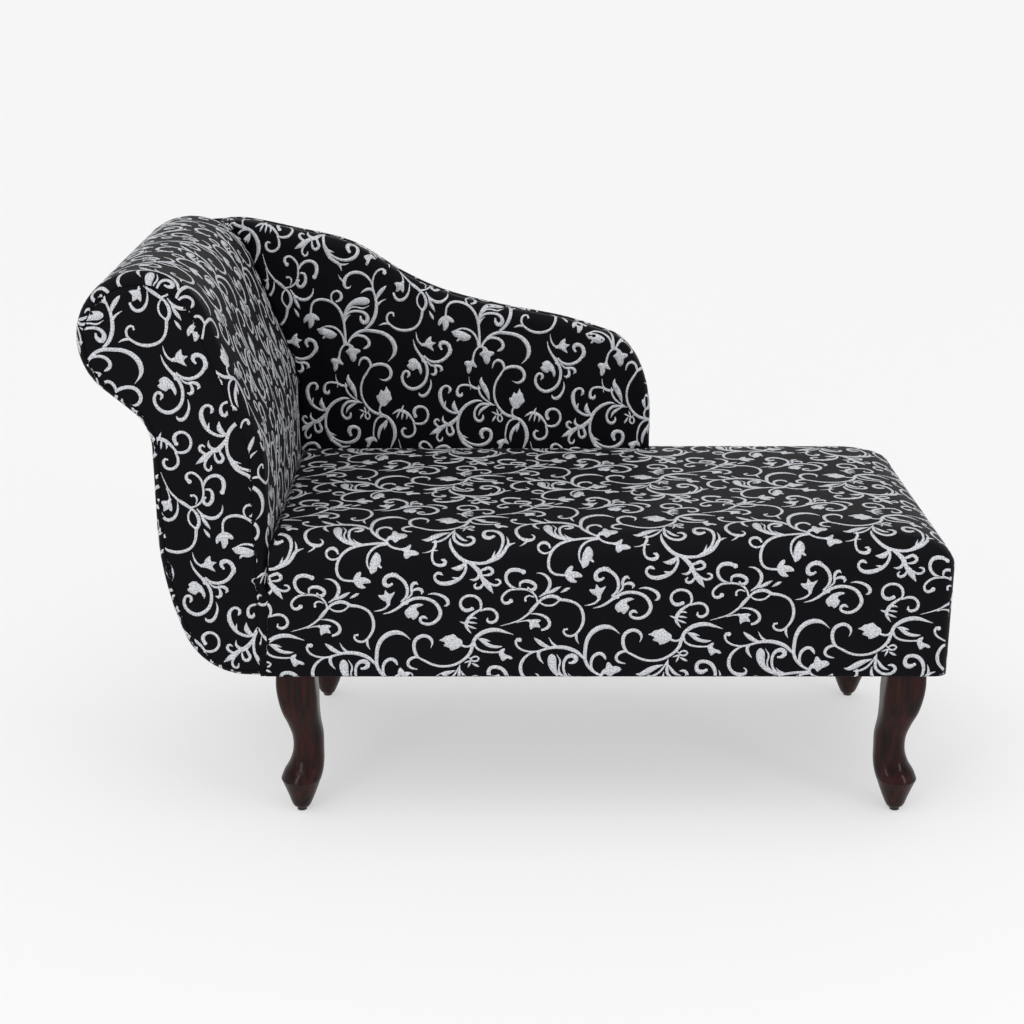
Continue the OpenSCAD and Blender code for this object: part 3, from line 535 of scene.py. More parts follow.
def seat_ring(f):
    """Front, foot, rear and left edge of the seat at a share f of the way in over the rounded edge, and the
    number of steps from the left to where the backboard ends."""
    inset, crease = SEAT_EDGE_R * f, CREASE * f
    r, r_rear = SEAT_CORNER_R + 16 * f, SEAT_CORNER_R + 40 * f
    x_left, x_foot = X_LEFT + crease, X_FOOT + FOOT_BULGE * (1 - f) - FOOT_EDGE * f
    y_front, y_rear = Y_FRONT + inset, Y_BACK - (SEAT_EDGE_R + REAR_MORE) * f
    x_notch, y_notch = X_BACK + CLEAR, Y_PAD - CLEAR - 5 * f
    run = SEAT_NX - CORNER_STEPS
    notch = round(run * (x_notch - X_LEFT) / (X_FOOT - X_LEFT))
    front_mid, rear_mid = (x_foot - r, y_front + r), (x_foot - r_rear, y_rear - r_rear)
    xs = np.concatenate([np.linspace(x_left, x_notch - 2, notch + 1),
                         np.linspace(x_notch + 2, x_foot - r, run - notch)])
    front = np.vstack([np.column_stack([xs, np.full(len(xs), y_front)]),
                       corner_arc(*front_mid, r, 270, 315)[1:]])
    xs = np.concatenate([np.linspace(x_left, x_notch, notch + 1),
                         np.linspace(x_notch, x_foot - r_rear, run - notch)])
    ys = np.concatenate([np.full(notch + 1, y_notch), np.full(run - notch, y_rear)])
    rear = np.vstack([np.column_stack([xs, ys]), corner_arc(*rear_mid, r_rear, 90, 45)[1:]])
    steps = SEAT_NY - 2 * CORNER_STEPS
    side = np.column_stack([np.full(steps - 1, x_foot),
                            np.linspace(y_front + r, y_rear - r_rear, steps + 1)[1:-1]])
    foot = np.vstack([corner_arc(*front_mid, r, 315, 360), side, corner_arc(*rear_mid, r_rear, 0, 45)])
    left = np.linspace(front[0], rear[0], SEAT_NY + 1)
    for edge in (foot, rear):
        near = np.clip((edge[:, 0] - X_FOOT + 90) / 60, 0, 1)
        near = near * np.clip((edge[:, 1] - Y_FRONT - 60) / 300, 0, 1)
        edge[:, 0] -= (FOOT_BULGE + FOOT_TAPER * f) * near
    return front, foot, rear, left, notch


def eased(y):
    """Depth in the seat cover's plan, for a place behind the rounded front edge."""
    return Y_FRONT + SEAT_EDGE_R + (y - Y_FRONT - SEAT_EDGE_R) * SEAT_EASE


def top_grid():
    """Plan of the seat's level top, from its four edges: the places and their share of the crown."""
    front, foot, rear, left, _ = seat_ring(1)
    s, t = np.linspace(0, 1, SEAT_NX + 1)[:, None], np.linspace(0, 1, SEAT_NY + 1)[None, :]
    plan = np.zeros((SEAT_NX + 1, SEAT_NY + 1, 2))
    for c in (0, 1):
        f, b, l, r = front[:, c], rear[:, c], left[:, c], foot[:, c]
        plan[:, :, c] = ((1 - t) * f[:, None] + t * b[:, None] + (1 - s) * l[None, :] + s * r[None, :]
                         - (1 - s) * (1 - t) * f[0] - s * (1 - t) * f[-1]
                         - (1 - s) * t * b[0] - s * t * b[-1])
    x, y = plan[..., 0], plan[..., 1]
    crown = np.ones_like(x)
    for d in (x - X_LEFT - CREASE, X_FOOT - FOOT_EDGE - x, y - Y_FRONT - SEAT_EDGE_R,
              Y_BACK - SEAT_EDGE_R - REAR_MORE - y):
        crown *= 1 - (1 - np.clip(d / 64, 0, 1)) ** 2
    return x, y, crown


def seat_levels(tall):
    """Rows of the seat's sides: share of the way in, height, and run of cloth from the top's edge."""
    turn = np.radians(np.linspace(90, 0, 9))[1:]
    rows = [(1 - math.cos(a), Z_SEAT - SEAT_EDGE_R * (1 - math.sin(a)), (math.pi / 2 - a) * SEAT_EDGE_R)
            for a in turn]
    over = rows[-1][2]
    rows += [(0.0, Z_SEAT - SEAT_EDGE_R - tall * u, over + tall * u) for u in np.linspace(0, 1, 20)[1:]]
    return rows + [(0.035, Z_UNDER - 0.85, over + tall + 1.4), (0.27, Z_UNDER - 0.9, over + tall + 11)]


def seat_skin(name):
    """The seat cover: a grid over the top, and a skirt down each side, cut flat like a cross so that the
    weave runs over the front edge without a seam and meets in a fold at the upright corners."""
    nx, ny = SEAT_NX, SEAT_NY
    x, y, crown = top_grid()
    points = np.column_stack([x.ravel(), y.ravel(), (Z_SEAT + SEAT_CROWN * crown).ravel()]).tolist()

    def index(i, j):
        return i * (ny + 1) + j

    faces, uvs = [], []
    for i in range(nx):
        for j in range(ny):
            f = [index(i, j), index(i + 1, j), index(i + 1, j + 1), index(i, j + 1)]
            faces.append(f)
            uvs.extend((points[k][0], eased(points[k][1])) for k in f)
    loop = ([index(i, 0) for i in range(nx + 1)] + [index(nx, j) for j in range(1, ny + 1)]
            + [index(i, ny) for i in range(nx - 1, -1, -1)] + [index(0, j) for j in range(ny - 1, 0, -1)])
    kind = ["front"] * nx + ["foot"] * ny + ["rear"] * nx + ["left"] * ny
    tall = Z_SEAT - SEAT_EDGE_R - Z_UNDER
    # The top's own edge comes first, all the way in
    levels = [(1, Z_SEAT, 0.0)] + seat_levels(tall)
    rings, n = [loop], len(loop)
    for f, level, _ in levels[1:]:
        front, foot, rear, left, notch = seat_ring(f)
        ring = np.vstack([front, foot[1:], rear[::-1][1:], left[::-1][1:-1]])
        share = (Z_SEAT - level) / (Z_SEAT - Z_UNDER)
        zs = np.full(n, level)
        # Along the backboard and in the crease the cloth is tucked in beside the foam, and goes no lower
        tucked = np.zeros(n, bool)
        tucked[nx + ny + (nx - notch):] = True
        zs[tucked] = np.maximum(FOAM_Z, Z_SEAT - share * (Z_SEAT - FOAM_Z) * 1.35)
        rings.append(list(range(len(points), len(points) + n)))
        points.extend(np.column_stack([ring, zs]).tolist())
    points = np.array(points)
    seam = (points[:, 1] < Y_FRONT + 6) & (points[:, 0] < X_LEFT + 40)
    down = np.clip((Z_SEAT - SEAT_EDGE_R - points[:, 2]) / tall, 0, 1)
    points[:, 0] -= SEAM_LEAN * down * np.clip((X_LEFT + 40 - points[:, 0]) / 40, 0, 1) * seam

    def flat(k, row, side):
        """Place in the cover's plan of a point of a row, for the side that the face is on."""
        px, py, pz = points[k]
        inset, _, run = levels[row]
        if side == "front":
            return px, Y_FRONT + SEAT_EDGE_R - run + (py - Y_FRONT - SEAT_EDGE_R * inset)
        if side == "foot":
            return X_FOOT - SEAT_EDGE_R + run + (px - X_FOOT + SEAT_EDGE_R * inset), eased(py)
        if side == "rear":
            if px > X_BACK + 0.1 and py > Y_PAD:
                deep = SEAT_EDGE_R + REAR_MORE
                return px, eased(Y_BACK - deep) + run + (py - Y_BACK + deep * inset)
            return px, eased(Y_PAD - 5 - CLEAR) + Z_SEAT - pz
        return X_LEFT + CREASE - (Z_SEAT - pz), eased(py)

    for j in range(len(rings) - 1):
        for k in range(n):
            after = (k + 1) % n
            f = [rings[j + 1][k], rings[j + 1][after], rings[j][after], rings[j][k]]
            faces.append(f)
            uvs.extend(flat(point, row, kind[k]) for point, row in zip(f, (j + 1, j + 1, j, j)))
    made = mesh_object(name, points, faces, uvs)
    x, y, z = points.T
    hold = np.zeros(len(points))
    hold[(z < Z_UNDER + 8) | (x < X_LEFT + 10) | ((y > Y_PAD - 8) & (x < X_BACK + 8))] = 1
    hold = np.maximum(hold, np.clip(1 - (z - Z_UNDER) / 30, 0, 1))
    hold = np.maximum(hold, np.clip(1 - (x - X_LEFT) / 40, 0, 1))
    back = (x < X_BACK + 10) & (y > Y_PAD - 40)
    hold = np.maximum(hold, np.where(back, np.clip((y - Y_PAD + 40) / 36, 0, 1), 0))
    return made, hold


# Scroll tile


# One repeat of the vine in mm, set over a flattened view of the cloth with a grid on it: each stroke as x, y
# and width along its middle line, and the outlines of the flower heads and broad leaves
VINES = (
    ((93, 169.5, 3.6), (102, 178, 5.6), (108, 191, 6), (109.5, 205, 5.2), (107.5, 217, 3.6),
     (104.5, 227, 3.2), (104, 237, 2.8), (106, 246, 2.8), (110.5, 253, 3.2), (116.5, 256, 3.6),
     (121.5, 254.5, 4.8), (121, 251, 4.8)),
    ((109, 202, 4), (115, 209, 3.2), (123.5, 213.5, 0.4)),
    ((109, 211.5, 2), (112, 219, 6), (116.5, 225, 6.8), (121, 230, 4), (123.5, 232.5, 0.4)),
    ((106.5, 224, 2.8), (100, 227.5, 5.2), (93, 225.5, 4), (87, 221, 0.4)),
    ((103.5, 232.5, 1.6), (101, 239, 3.2), (95, 246, 4.4), (86, 250.5, 5.2), (76, 250.5, 5.2),
     (68, 246, 4.8), (64.5, 239.5, 6), (64, 233, 5.2), (66.5, 228.5, 3.6), (71, 228.5, 2.8),
     (73.5, 232, 0.6)),
    ((65, 236.5, 3.2), (59.5, 240.5, 2.8), (55.5, 247, 0.4)),
    ((47.5, 207.5, 2), (45, 215, 2.8), (47.5, 221.5, 3.2), (53, 224, 3.6), (58, 221.5, 4.4), (60, 216, 5.2),
     (57.5, 211, 4.8), (53, 209, 2.4)),
    ((65.5, 145, 4), (65, 155, 4), (64.5, 165, 4), (63.5, 175, 4), (62, 184, 4.4), (58, 195, 4.4),
     (51, 204, 4.4), (42, 209.5, 4.4), (32, 211.5, 4.4), (23, 209.5, 4), (18, 204, 3.6), (16.5, 197, 3.2),
     (16, 189, 3.6)),
    ((65, 190, 2), (72, 199.5, 2.8), (80, 201.5, 2.4), (90, 199.5, 2.8), (99.5, 204, 0.4)),
    ((64, 180, 2.4), (66, 188.5, 3.2), (72, 194, 3.6), (80, 195.5, 4), (89, 194.5, 4.4), (95.5, 190, 5.6),
     (97, 183, 7.2), (92.5, 178.5, 7.2), (87.5, 182.5, 5.6), (87, 187.5, 2.4)),
    ((64.5, 179, 1.6), (68, 186.5, 2.4), (72.5, 190, 0.4)),
    ((63, 147, 2.8), (61.5, 157, 3.2), (57, 165, 3.6), (49, 171, 3.6), (39, 172.5, 2.8), (31, 170, 1.6),
     (25, 167.5, 0.4)),
    ((67, 147.5, 4.4), (72, 145, 4.8), (74, 142, 4)),
    ((65, 147, 3.6), (60, 142, 3.2), (57, 135, 3.2), (55.5, 125, 3.2)),
    ((68, 147.5, 3.2), (74, 157, 4), (82, 164, 4.8), (92, 167.5, 5.2), (104, 167, 5.6), (116, 165, 6),
     (126, 160, 6.8), (133, 152, 7.6), (136, 142.5, 7.2), (135, 134.5, 5.6), (131, 128, 2.8),
     (125, 122, 0.4)),
    ((70, 151.5, 2.4), (76, 158, 3.6), (84, 160, 4), (93, 158, 4.8), (98.5, 152, 5.2), (98.5, 146, 5.2),
     (94.5, 142.5, 4.8), (91, 141, 2)),
    ((141, 275, 0.6), (144, 263, 1.6), (148, 251, 2.4), (154, 242, 3.2), (161, 234, 3.6), (169, 227.5, 3.6),
     (173, 224, 2.8)),
    ((173.5, 225.5, 1.6), (168.5, 219, 2.8), (167, 211, 2.8), (169, 204.5, 2.8), (173.5, 199.5, 2.4)),
    ((171, 227, 2.4), (177, 220, 4), (180, 211, 5.2), (179, 203, 5.2), (175, 197, 4.8), (174, 190, 4.4),
     (171.5, 182, 4), (167, 175, 4), (160, 170.5, 4.4), (150, 168.5, 4.8), (140, 170, 4.4), (131, 175, 3.6),
     (125, 181.5, 3.6), (124.5, 188.5, 3.6), (128, 193.5, 3.2), (133, 194, 3.6), (134, 190, 2.4)),
    ((127, 178, 3.6), (120, 178, 3.6), (113, 175, 0.4)),
    ((160, 238, 0.6), (165.5, 233, 2), (171.5, 227.5, 1.6)),
    ((172, 226.5, 2.8), (179, 228, 2.8), (186, 233, 3.2), (190, 241, 3.2), (191, 251, 3.2), (190, 261, 3.2),
     (185, 268.5, 3.6), (179, 272, 3.6), (173, 270, 4), (172, 264.5, 5.2), (175, 260.5, 4.8)),
    ((179, 230.5, 1.6), (181.5, 237, 2.4), (179, 242, 3.2), (175, 242, 2.8)),
    ((-0.5, 252, 2), (3, 260, 4), (10, 265, 4.8), (18.5, 265.5, 5.2), (24.5, 260, 6), (25, 250.5, 6),
     (22, 243.5, 5.2)),
    ((1, 248.5, 2.4), (7, 248, 4), (9.5, 242, 4.8), (8, 234, 5.6), (3, 228.5, 5.2), (-2, 230.5, 5.2),
     (-3, 236, 5.2), (0, 238, 2.4)),
    ((-12.5, 224.5, 1.6), (-7, 216, 4), (1, 211, 5.2), (9, 210.5, 5.2), (16, 215, 4), (19.5, 221, 2.4),
     (20, 227, 0.4)),
    ((-9, 217, 0.8), (-6, 209, 4.8), (-2.5, 202.5, 5.2), (1, 196, 0.4)),
    ((-7.5, 197, 0.6), (-5, 192.5, 4), (-2.5, 188, 4.4), (-1, 184.5, 0.4)),
    ((145, 254.5, 1.2), (147, 246, 1.6), (147.5, 238.5, 2.8)),
    ((156.5, 236, 0.8), (156, 227, 2.8), (153, 219, 4), (148, 213.5, 4.8), (141, 212, 4.8), (136, 216, 4.8),
     (134, 221.5, 2.8)),
    ((166, 167, 0.4), (167, 159, 2.4), (170, 152, 3.2), (175, 148, 3.2)),
    ((162, 156, 0.6), (164, 147, 2.8), (168.5, 138, 4), (174, 130.5, 4.4), (176.5, 125, 4.4)),
    ((23, 137, 4.8), (22, 146, 6.4), (17, 151.5, 6), (10.5, 151.5, 7.2), (8, 147, 5.6), (10.5, 142.5, 2.8)),
    ((23.5, 142, 2), (25, 136.5, 1.2), (21, 132, 0.4)),
    ((50.5, 102.5, 0.4), (51, 95.5, 1.6), (54, 89, 2.8), (59, 85.5, 4.4), (65, 85.5, 4)),
    ((54.5, 90, 1.2), (53, 86, 2), (53, 82, 0.4)),
    ((58.5, 86.5, 3.6), (52, 89, 3.6), (44, 90, 3.6), (37, 88, 3.6), (34, 82.5, 4.4), (34, 76.5, 5.6),
     (37, 73, 5.6), (40.5, 75, 4.8), (41, 78, 2)),
    ((69, 102.5, 0.4), (68, 96.5, 5.6), (71, 89.5, 8.8), (75, 82.5, 8.8), (78, 75.5, 6), (80.5, 67, 1.2)),
    ((64.5, 90, 1.6), (65.5, 80.5, 3.2), (70, 72.5, 3.2), (77, 66.5, 2.8), (85, 62, 1.6)),
    ((70.5, 66, 0.6), (63, 67, 4), (54, 64, 5.2), (46, 58.5, 5.6), (40, 51.5, 5.6), (36.5, 42.5, 4.8),
     (35, 32.5, 4.4), (35.5, 22.5, 4.4), (38.5, 12.5, 4.8), (43, 4, 5.2), (50, -2, 5.2), (57, -6.5, 4.8),
     (60.5, -16, 0.6)),
    ((89, 60.5, 0.6), (80, 61.5, 4), (70, 62, 4.8), (64, 58.5, 4.4), (60, 52.5, 4), (59, 44.5, 4),
     (62, 38, 4.8), (67, 36, 5.2), (71.5, 40, 4.4), (71.5, 45, 2)),
    ((80, 59.5, 1.2), (73, 56, 4.8), (67.5, 51, 4.4), (65, 44, 0.4)),
    ((36.5, 22.5, 1.6), (41, 13.5, 3.2), (46.5, 6, 4), (55, 1.5, 4), (65, -0.5, 4.8), (74.5, 1.5, 6),
     (81.5, 7, 6), (84, 14.5, 5.6), (82.5, 21.5, 5.6), (76.5, 24, 6), (71, 22.5, 7.2), (69, 17, 7.2),
     (71.5, 11.5, 3.6)),
    ((38.5, 15.5, 2), (44, 12.5, 3.2), (50.5, 10, 0.4)),
    ((54.5, -6, 2.8), (62.5, -7, 3.6), (71, -5, 0.4)),
    ((40, 50, 3.2), (31, 47.5, 4), (22, 50.5, 4.4), (15, 56.5, 5.2), (11, 64.5, 6.4), (9, 73.5, 6.8),
     (10, 81.5, 5.6), (14, 86.5, 4.4), (19, 88, 4), (23.5, 84.5, 4.4), (23, 80, 4.8), (21, 77.5, 1.6)),
    ((16, 54.5, 1.2), (16, 60.5, 3.2), (17.5, 66, 0.4)),
    ((30, 66.5, 0.4), (29, 60.5, 6), (30, 55, 8.4), (34.5, 49.5, 3.6)),
    ((37.5, 45, 3.6), (31, 37, 6), (24, 31, 7.2), (16, 28, 6), (8, 22.5, 9.2), (1.5, 18.5, 7.2),
     (-6, 14, 0.4)),
    ((14, 43.5, 0.4), (13, 37, 4), (17, 32, 4.8), (24, 30.5, 4)),
    ((10, 25, 2.8), (2.5, 30, 4.4), (1.5, 35.5, 4.4), (5, 38, 3.6), (8, 35.5, 2)),
    ((25, 30.5, 2.8), (27, 24.5, 4.4), (29, 18.5, 4.8), (25, 14, 5.2), (21, 15, 4.4), (19, 20.5, 3.6),
     (19, 25.5, 2)),
    ((9.5, 20.5, 2.8), (5.5, 14.5, 3.6), (5, 9, 3.6), (8, 4.5, 3.6), (12, 6, 3.6), (13, 10.5, 1.6)),
    ((102, 117, 2), (96, 106.5, 3.6), (90, 96, 3.6), (87, 84.5, 3.6), (87.5, 72.5, 3.6), (91, 62.5, 4),
     (97, 53.5, 4.4), (105, 46.5, 5.2), (114, 43.5, 5.2), (124.5, 39.5, 5.6), (132, 30.5, 6.4),
     (135.5, 20, 6.8), (135.5, 10, 6), (133, 2, 4), (128.5, -10, 0.4)),
    ((99.5, 111.5, 1.2), (104, 116, 4.8), (114, 118.5, 5.2), (124, 116.5, 5.6), (129.5, 109.5, 5.6),
     (130, 102.5, 5.2), (126, 96.5, 4.8), (120, 94.5, 3.2), (113, 97, 0.4)),
    ((101, 112.5, 2), (100.5, 119.5, 4.4), (97, 125.5, 4.8), (91, 127.5, 4.4), (86, 123.5, 3.6),
     (84, 116, 1.6)),
    ((116, 57.5, 3.6), (113.5, 51.5, 3.2), (115, 45.5, 3.2), (121, 42, 2.4)),
    ((165, 30, 2.8), (160, 38.5, 4), (154, 45.5, 5.2), (147, 49.5, 5.6), (141, 50, 4.4), (135, 46.5, 2.8),
     (131.5, 44, 0.4)),
    ((144, 48.5, 2.8), (146.5, 53.5, 3.2), (148.5, 58, 0.4)),
    ((143, 48.5, 2), (140, 42.5, 3.2), (138, 37, 0.4)),
    ((147.5, 47.5, 2), (146.5, 41.5, 3.2), (145.5, 36, 0.4)),
    ((153, 45, 2), (153.5, 40, 3.2), (152, 36, 0.4)),
    ((162.5, 32, 2.4), (170, 30, 4), (178, 32, 4.4), (183, 38.5, 4), (183.5, 47.5, 4), (179, 54.5, 4),
     (172, 56.5, 4.4), (165.5, 53.5, 5.2), (163.5, 47.5, 6), (165.5, 42, 4.4)),
    ((162.5, 32, 2.4), (165, 22.5, 4), (163, 14.5, 4), (156, 10, 4.4), (149, 11.5, 4.4), (146, 17.5, 4.4),
     (148, 23, 4), (152, 22.5, 2)),
    ((174, 132, 4.4), (180, 120.5, 4.8), (182.5, 110.5, 4.8), (181, 98.5, 4.8), (176, 89.5, 5.2),
     (168, 84, 5.6), (160, 82.5, 5.6), (152, 86.5, 5.2), (147, 94, 4.8), (146.5, 102, 4.4), (150, 108.5, 4),
     (155, 108, 4.8), (156.5, 103.5, 4.8), (154, 100, 2)),
    ((187, 97.5, 0.4), (188, 90.5, 2.8), (186, 82.5, 4), (181, 74.5, 5.2), (175, 72, 5.6), (171, 74.5, 3.2),
     (170.5, 77.5, 0.8)),
    ((-14.5, 132, 3.2), (-8, 125.5, 4), (1, 123, 4.8), (10, 125, 5.2), (17, 130, 5.2), (21.5, 137, 5.2),
     (23, 141, 5.2)),
    ((-11, 125, 1.6), (-4, 118, 3.2), (3, 118, 4), (9, 116.5, 5.2), (11.5, 112, 4.8), (9, 109.5, 1.6)),
    ((0, 118, 2), (2.5, 112.5, 4), (2.5, 107, 5.6), (-1, 104, 4.8), (-4, 105.5, 1.6)),
    ((84, 50.5, 0.4), (88, 48.5, 3.2), (93.5, 46, 1.6)),
    ((85, 35.5, 0.4), (87, 39.5, 4), (90, 44.5, 1.6)),
    ((91, 55, 0.4), (92.5, 50.5, 2.8), (94, 46, 1.6)),
    ((99.5, 50, 0.4), (97, 47, 2.4), (95, 45, 1.6)),
    ((95, 46, 2.4), (92.5, 41.5, 2.8), (94.5, 36.5, 3.2), (98, 36, 2.8), (99.5, 41.5, 2.8), (96.5, 46, 2)),
    ((121.5, 41, 2.8), (112, 38.5, 3.2), (107, 31.5, 3.2), (105, 22.5, 2.8), (104.5, 14.5, 2.4),
     (105, 8, 2.4)),
    ((124.5, 36, 0.8), (121, 30.5, 4.8), (116, 24.5, 6), (113, 18, 5.2), (112, 10.5, 4), (112.5, 5, 0.4)),
    ((124.5, 33.5, 1.2), (122, 26.5, 4.4), (120, 20, 0.4)),
)
HEADS = (
    ((14, 190.5), (9, 187.5), (5.5, 182), (6.5, 175.5), (11.5, 180.5), (12.5, 175), (13, 169), (16.5, 170),
     (20.5, 176), (21, 182.5), (24.5, 180.5), (28.5, 181), (27, 185.5), (23, 189), (19, 191)),
    ((62.5, 187), (63.5, 194), (67.5, 202.5), (74.5, 210), (84, 215), (94, 215.5), (100, 211.5), (98.5, 207),
     (93, 204.5), (85, 204.5), (77.5, 204), (71, 200), (66.5, 194.5), (64.5, 187.5)),
    ((24.5, 168), (31, 170), (38, 169), (44.5, 167), (50, 163.5), (53, 160.5), (49, 156), (42, 154.5),
     (37, 156.5), (33, 153), (32, 156), (35, 159.5), (29.5, 160.5), (26.5, 164)),
    ((70, 146.5), (75, 145.5), (78, 141), (82.5, 140.5), (87, 138), (83.5, 134), (80.5, 132.5),
     (80.5, 126.5), (78, 122), (75, 121), (72, 125), (70, 130.5), (65, 136), (66.5, 138), (70, 140.5)),
    ((134.5, 236.5), (141, 238), (144, 237), (147, 240.5), (148.5, 235), (149, 228), (147, 222.5),
     (144, 227), (141, 225), (137, 224), (138, 228.5), (137.5, 232.5)),
    ((173.5, 149.5), (179, 151.5), (181, 156), (188, 161), (187.5, 155.5), (189, 152.5), (195, 151.5),
     (190, 148), (189, 145), (192, 139), (186, 142), (181, 145), (176, 146)),
    ((43.5, 123.5), (48, 126), (53, 125), (54.5, 129), (57, 128.5), (58, 123.5), (62.5, 116.5),
     (58.5, 116.5), (54.5, 118.5), (54, 112.5), (50, 106), (47.5, 109.5), (47, 117), (44, 120)),
    ((123.5, 86), (126, 80.5), (129, 78), (129.5, 73), (131.5, 67), (127, 62.5), (122.5, 56.5), (117.5, 56),
     (113, 60), (110, 66), (109, 71.5), (112, 72.5), (114, 76.5), (116, 81), (118.5, 77.5), (121, 79.5)),
    ((161, 128), (166, 127), (169, 123.5), (172, 120.5), (174, 114.5), (175, 109), (173, 103.5), (171, 108),
     (169, 112.5), (165, 112.5), (163, 109.5), (158, 111.5), (155, 114), (152.5, 117.5), (156.5, 120.5),
     (155, 124.5)),
    ((92, 5.5), (98, 8.5), (104, 10), (107, 8.5), (110, 2.5), (108, 1.5), (104, 3.5), (101, 0.5),
     (98.5, -5.5), (95, -8), (94, -5), (96, -0.5), (93, 2.5)),
)


# Steps in one length of a stroke, and the spacing in mm of points along strokes, round heads and inside both
LENGTH = 8
STROKE_STEP, HEAD_STEP, FILL_STEP = 3.2, 2.7, 8.0
# Share of a stroke's drawn width that its yarn takes, and the swell of a curl's round end
STEM_SHARE, BULB = 0.84, 1.45


def ribbon(stroke):
    """Outlines of one stroke with its changing width, and a round end where it ends wide. It comes in short
    lengths, so that a stroke that loops round leaves its eye open."""
    q = respaced(spline(stroke, 8), STROKE_STEP)
    xy, half = q[:, :2], np.maximum(q[:, 2] * STEM_SHARE, 0.35) / 2
    way = unit(np.gradient(xy, axis=0))
    side = np.stack([-way[:, 1], way[:, 0]], 1)
    left, right = xy + side * half[:, None], xy - side * half[:, None]
    pieces = []
    for k in range(0, len(q) - 1, LENGTH):
        end = min(k + LENGTH, len(q) - 1)
        cap = []
        if end == len(q) - 1 and half[-1] > 0.5:
            turn = math.atan2(side[-1][1], side[-1][0])
            cap = [xy[-1] + half[-1] * np.array([math.cos(turn - a), math.sin(turn - a)])
                   for a in np.linspace(0, math.pi, 6)[1:-1]]
        pieces.append(np.vstack([left[k : end + 1]] + ([cap] if cap else []) + [right[k : end + 1][::-1]]))
    if half[-1] > 0.9:
        a = np.linspace(0, 2 * math.pi, 10, endpoint=False)
        pieces.append(xy[-1] + BULB * half[-1] * np.column_stack([np.cos(a), np.sin(a)]))
    return pieces


def scroll_tile():
    """One repeat of the vine: the strokes and flower heads joined in the plane, as a thin closed solid.
    Z is 0 on its underside and 1 on its top, and the weaving turns that into the real height."""
    outlines = [piece for s in VINES for piece in ribbon(s)]
    for head in HEADS:
        around = [*head[-2:], *head, *head[:2]]
        outlines.append(respaced(spline(around, 4)[8:-8], HEAD_STEP, closed=True))
    points, faces = [], []
    # Counterclockwise, or the triangulation counts the eye of a loop as filled
    for o in outlines:
        x, y = o.T
        if (x * np.roll(y, -1) - np.roll(x, -1) * y).sum() < 0:
            o = o[::-1]
        faces.append(list(range(len(points), len(points) + len(o))))
        points.extend(o.tolist())
    grid = np.meshgrid(np.arange(-30, 215, FILL_STEP), np.arange(-30, 290, FILL_STEP))
    grid = np.stack(grid, -1).reshape(-1, 2)
    near = np.zeros(len(grid), bool)
    for o in outlines:
        box = (grid >= o.min(0)).all(1) & (grid <= o.max(0)).all(1)
        spots = grid[box]
        if len(spots):
            near[np.nonzero(box)[0][inside(spots, o) & (distance_to(spots, o) > 1.2)]] = True
    points.extend(grid[near].tolist())
    found = geometry.delaunay_2d_cdt([Vector(p) for p in points], [], faces, 1, 1e-4)
    flat = np.array([tuple(v) for v in found[0]])
    top = [list(f) for f, ids in zip(found[2], found[5]) if ids]
    used = {edge: True for f in top for edge in zip(f, f[1:] + f[:1])}
    rim = [(a, b) for a, b in used if (b, a) not in used]
    n = len(flat)
    solid = np.vstack([np.column_stack([flat, np.zeros(n)]), np.column_stack([flat, np.full(n, 1 / MM)])])
    faces = [[k + n for k in f] for f in top] + [f[::-1] for f in top]
    faces += [[a, b, b + n, a + n] for a, b in rim]
    return mesh_object("scroll_tile", solid, faces)


# Geometry nodes that lay the scrolls


def add(tree, kind, links=None, values=None, **settings):
    """Adds a node. links and values map an input's name or number to an output socket or a value; settings
    are the node's own properties."""
    made = tree.nodes.new(kind)
    for key, value in settings.items():
        setattr(made, key, value)
    for key, value in (values or {}).items():
        made.inputs[key].default_value = value
    for key, socket in (links or {}).items():
        tree.links.new(socket, made.inputs[key])
    return made


